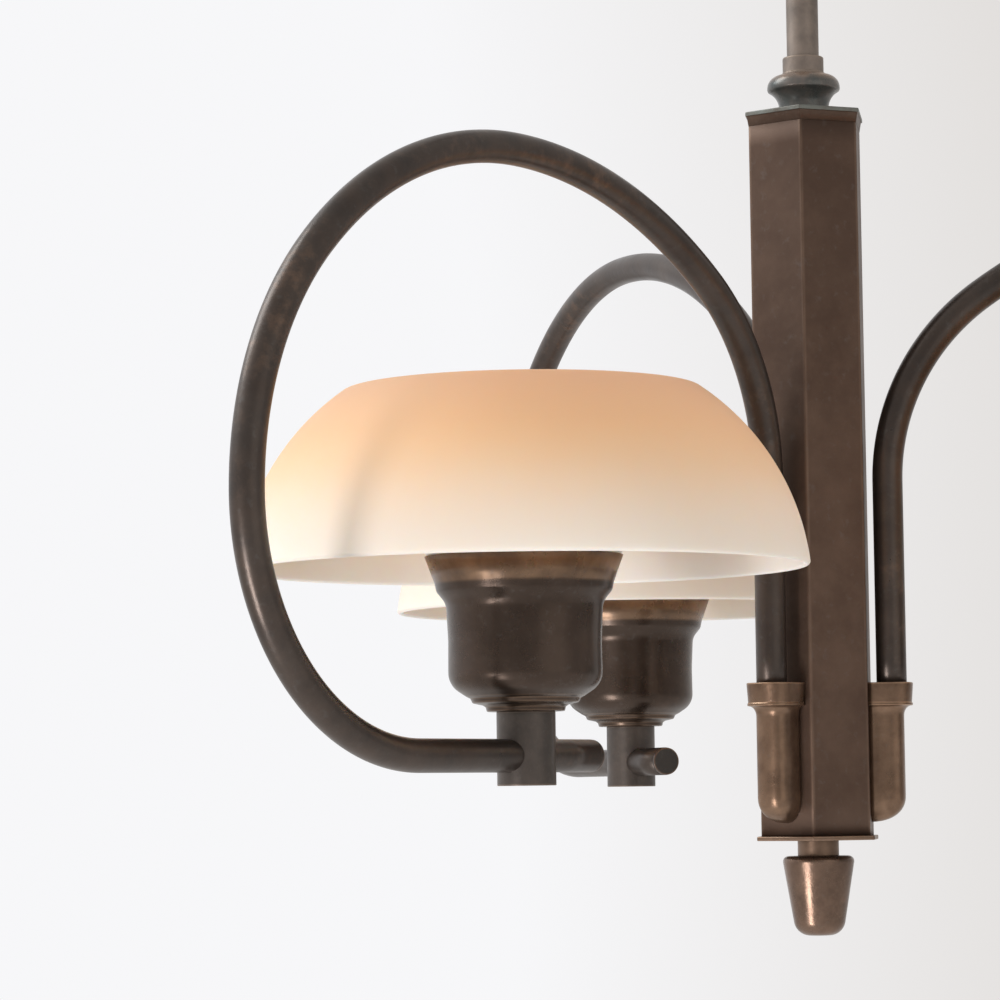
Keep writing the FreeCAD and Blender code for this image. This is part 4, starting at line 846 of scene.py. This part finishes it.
sections = [
    (np.array([seat, (lip_x, CUP_LIP)]), (0.0, 0.0)),
    (bow((lip_x, CUP_LIP), run, -0.9, 14), (0.0, 0.1)),
    (circle_point(bowl, bowl_turn, np.linspace(-FUNNEL_LEAN, 0, 24))[1:], (0.1, 0.75)),
    (circle_point(fold, FOLD_RADIUS - GLASS, np.linspace(180, FOLD_LEAN, 16)), (0.85, 0.9)),
    (circle_point(skirt, SKIRT_RADIUS - GLASS, np.linspace(FOLD_LEAN, RIM_LEAN, 44))[1:], (0.5, 0.0)),
    (circle_point(circle_point(skirt, SKIRT_RADIUS - GLASS / 2, RIM_LEAN), GLASS / 2,
                  np.linspace(RIM_LEAN + 180, RIM_LEAN + 360, 15))[1:-1], (0.0, 0.1)),
    (circle_point(skirt, SKIRT_RADIUS, np.linspace(RIM_LEAN, FOLD_LEAN, 52)), (0.1, 0.93)),
    (circle_point(fold, FOLD_RADIUS, np.linspace(FOLD_LEAN, 180, 22))[1:], (0.93, 1.0)),
    (circle_point(bowl, bowl_turn - GLASS, np.linspace(0, -FUNNEL_LEAN, 24)), (0.85, 0.1)),
    (bow(circle_point(bowl, bowl_turn - GLASS, -FUNNEL_LEAN), mouth_in, 0.5, 8)[1:], (0.1, 0.0)),
    (np.array([(seat[0] - GLASS, seat[1])]), (0.0, 0.0))]
outline = np.vstack([points for points, _ in sections])
tint = np.concatenate([np.linspace(start, end, len(points)) for points, (start, end) in sections])

etched = bpy.data.materials.new("etched_glass")
etched.use_nodes = True
nodes, links = etched.node_tree.nodes, etched.node_tree.links
shader = nodes["Principled BSDF"]
tinted = nodes.new("ShaderNodeAttribute")
tinted.attribute_name = "wear"
where = nodes.new("ShaderNodeTexCoord")
cloud = nodes.new("ShaderNodeTexNoise")
cloud.inputs["Scale"].default_value = 16.0
cloud.inputs["Detail"].default_value = 4
links.new(where.outputs["Object"], cloud.inputs["Vector"])
drift = nodes.new("ShaderNodeMapRange")
drift.inputs["To Min"].default_value = -0.07
drift.inputs["To Max"].default_value = 0.07
links.new(cloud.outputs["Fac"], drift.inputs["Value"])
shifted = nodes.new("ShaderNodeMath")
shifted.operation = "ADD"
shifted.use_clamp = True
links.new(tinted.outputs["Fac"], shifted.inputs[0])
links.new(drift.outputs["Result"], shifted.inputs[1])
ramp = nodes.new("ShaderNodeValToRGB")
ramp.color_ramp.interpolation = "B_SPLINE"
stops = ((0.0, (0.93, 0.89, 0.84)), (0.10, (0.80, 0.70, 0.62)), (0.27, (0.83, 0.665, 0.54)),
         (0.45, (0.85, 0.56, 0.35)), (0.65, (0.84, 0.49, 0.265)), (1.0, (0.74, 0.42, 0.26)))
while len(ramp.color_ramp.elements) < len(stops):
    ramp.color_ramp.elements.new(0.5)
for element, (position, colour) in zip(ramp.color_ramp.elements, stops):
    element.position = position
    element.color = (*colour, 1)
links.new(shifted.outputs[0], ramp.inputs["Fac"])
links.new(ramp.outputs["Color"], shader.inputs["Base Color"])
grain = nodes.new("ShaderNodeTexNoise")
grain.inputs["Scale"].default_value = 900.0
grain.inputs["Detail"].default_value = 3
links.new(where.outputs["Object"], grain.inputs["Vector"])
frost = nodes.new("ShaderNodeBump")
frost.inputs["Strength"].default_value = 0.05
frost.inputs["Distance"].default_value = 0.0003
links.new(grain.outputs["Fac"], frost.inputs["Height"])
links.new(frost.outputs["Normal"], shader.inputs["Normal"])
matt = nodes.new("ShaderNodeMapRange")
matt.inputs["To Min"].default_value = 0.52
matt.inputs["To Max"].default_value = 0.66
links.new(cloud.outputs["Fac"], matt.inputs["Value"])
links.new(matt.outputs["Result"], shader.inputs["Roughness"])
shader.inputs["IOR"].default_value = 1.45
shader.inputs["Transmission Weight"].default_value = 0.1
shader.inputs["Subsurface Weight"].default_value = 0.35
shader.inputs["Subsurface Radius"].default_value = (1.0, 0.6, 0.35)
shader.inputs["Subsurface Scale"].default_value = 0.012
shader.inputs["Specular IOR Level"].default_value = 0.3
glass = spun(outline, 192, (ARM_REACH, 0.0))
for letter, degrees in THIRDS:
    dress(skin("folded_shade_" + letter, turned_by(glass, degrees), looped=True, wear=tint[:, None]),
          etched, "shade_glass", "shade_" + letter, "shade_" + letter)

# ---- Hidden hardware ---------------------------------------------------------------------------
# Parts inside the column, the rod and the cups: turned brass tubes and nuts, a porcelain ring
# connector, a moulded terminal block, the braided leads and the steel cross pin.


def braided(name, dark, light):
    """Woven sleeve: two crossed sets of fine diagonal threads."""
    paint = bpy.data.materials.new(name)
    paint.use_nodes = True
    nodes, links = paint.node_tree.nodes, paint.node_tree.links
    shader = nodes["Principled BSDF"]
    where = nodes.new("ShaderNodeTexCoord")
    weave = nodes.new("ShaderNodeTexWave")
    weave.inputs["Scale"].default_value = 420.0
    weave.inputs["Distortion"].default_value = 1.5
    weave.bands_direction = "DIAGONAL"
    links.new(where.outputs["Object"], weave.inputs["Vector"])
    tone = nodes.new("ShaderNodeMix")
    tone.data_type = "RGBA"
    tone.inputs[6].default_value = (*dark, 1)
    tone.inputs[7].default_value = (*light, 1)
    links.new(weave.outputs["Fac"], tone.inputs["Factor"])
    links.new(tone.outputs[2], shader.inputs["Base Color"])
    shader.inputs["Roughness"].default_value = 0.85
    relief = nodes.new("ShaderNodeBump")
    relief.inputs["Strength"].default_value = 0.4
    relief.inputs["Distance"].default_value = 0.0004
    links.new(weave.outputs["Fac"], relief.inputs["Height"])
    links.new(relief.outputs["Normal"], shader.inputs["Normal"])
    return paint


sleeve = braided("braided_lead", (0.16, 0.10, 0.06), (0.36, 0.25, 0.15))
ring_glaze = glazed("ring_connector", (0.86, 0.84, 0.78), 0.25)
block_plastic = glazed("terminal_plastic", (0.80, 0.78, 0.72), 0.5, speck=0.03, coat=0.0)
pin_steel = aged_brass("pin_steel", (0.32, 0.32, 0.32), (0.46, 0.46, 0.46), (0.6, 0.6, 0.6), metallic=1.0,
                       rough=(0.3, 0.45), blotch=120.0)
finishes = {"terminal_block": block_plastic, "supply_lead": sleeve, "column_connector": ring_glaze,
            "eye_pin": pin_steel, "rod_nut": bright, "rod_coupler": bright, "tie_rod": bright,
            "tie_nuts": bright}
for letter, _ in THIRDS:
    finishes["nipple_" + letter] = bright
    finishes["lampholder_insert_" + letter] = bright
    finishes["arm_lead_" + letter] = sleeve
for name, paint in finishes.items():
    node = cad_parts[name]
    node.data.materials.clear()
    node.data.materials.append(paint)
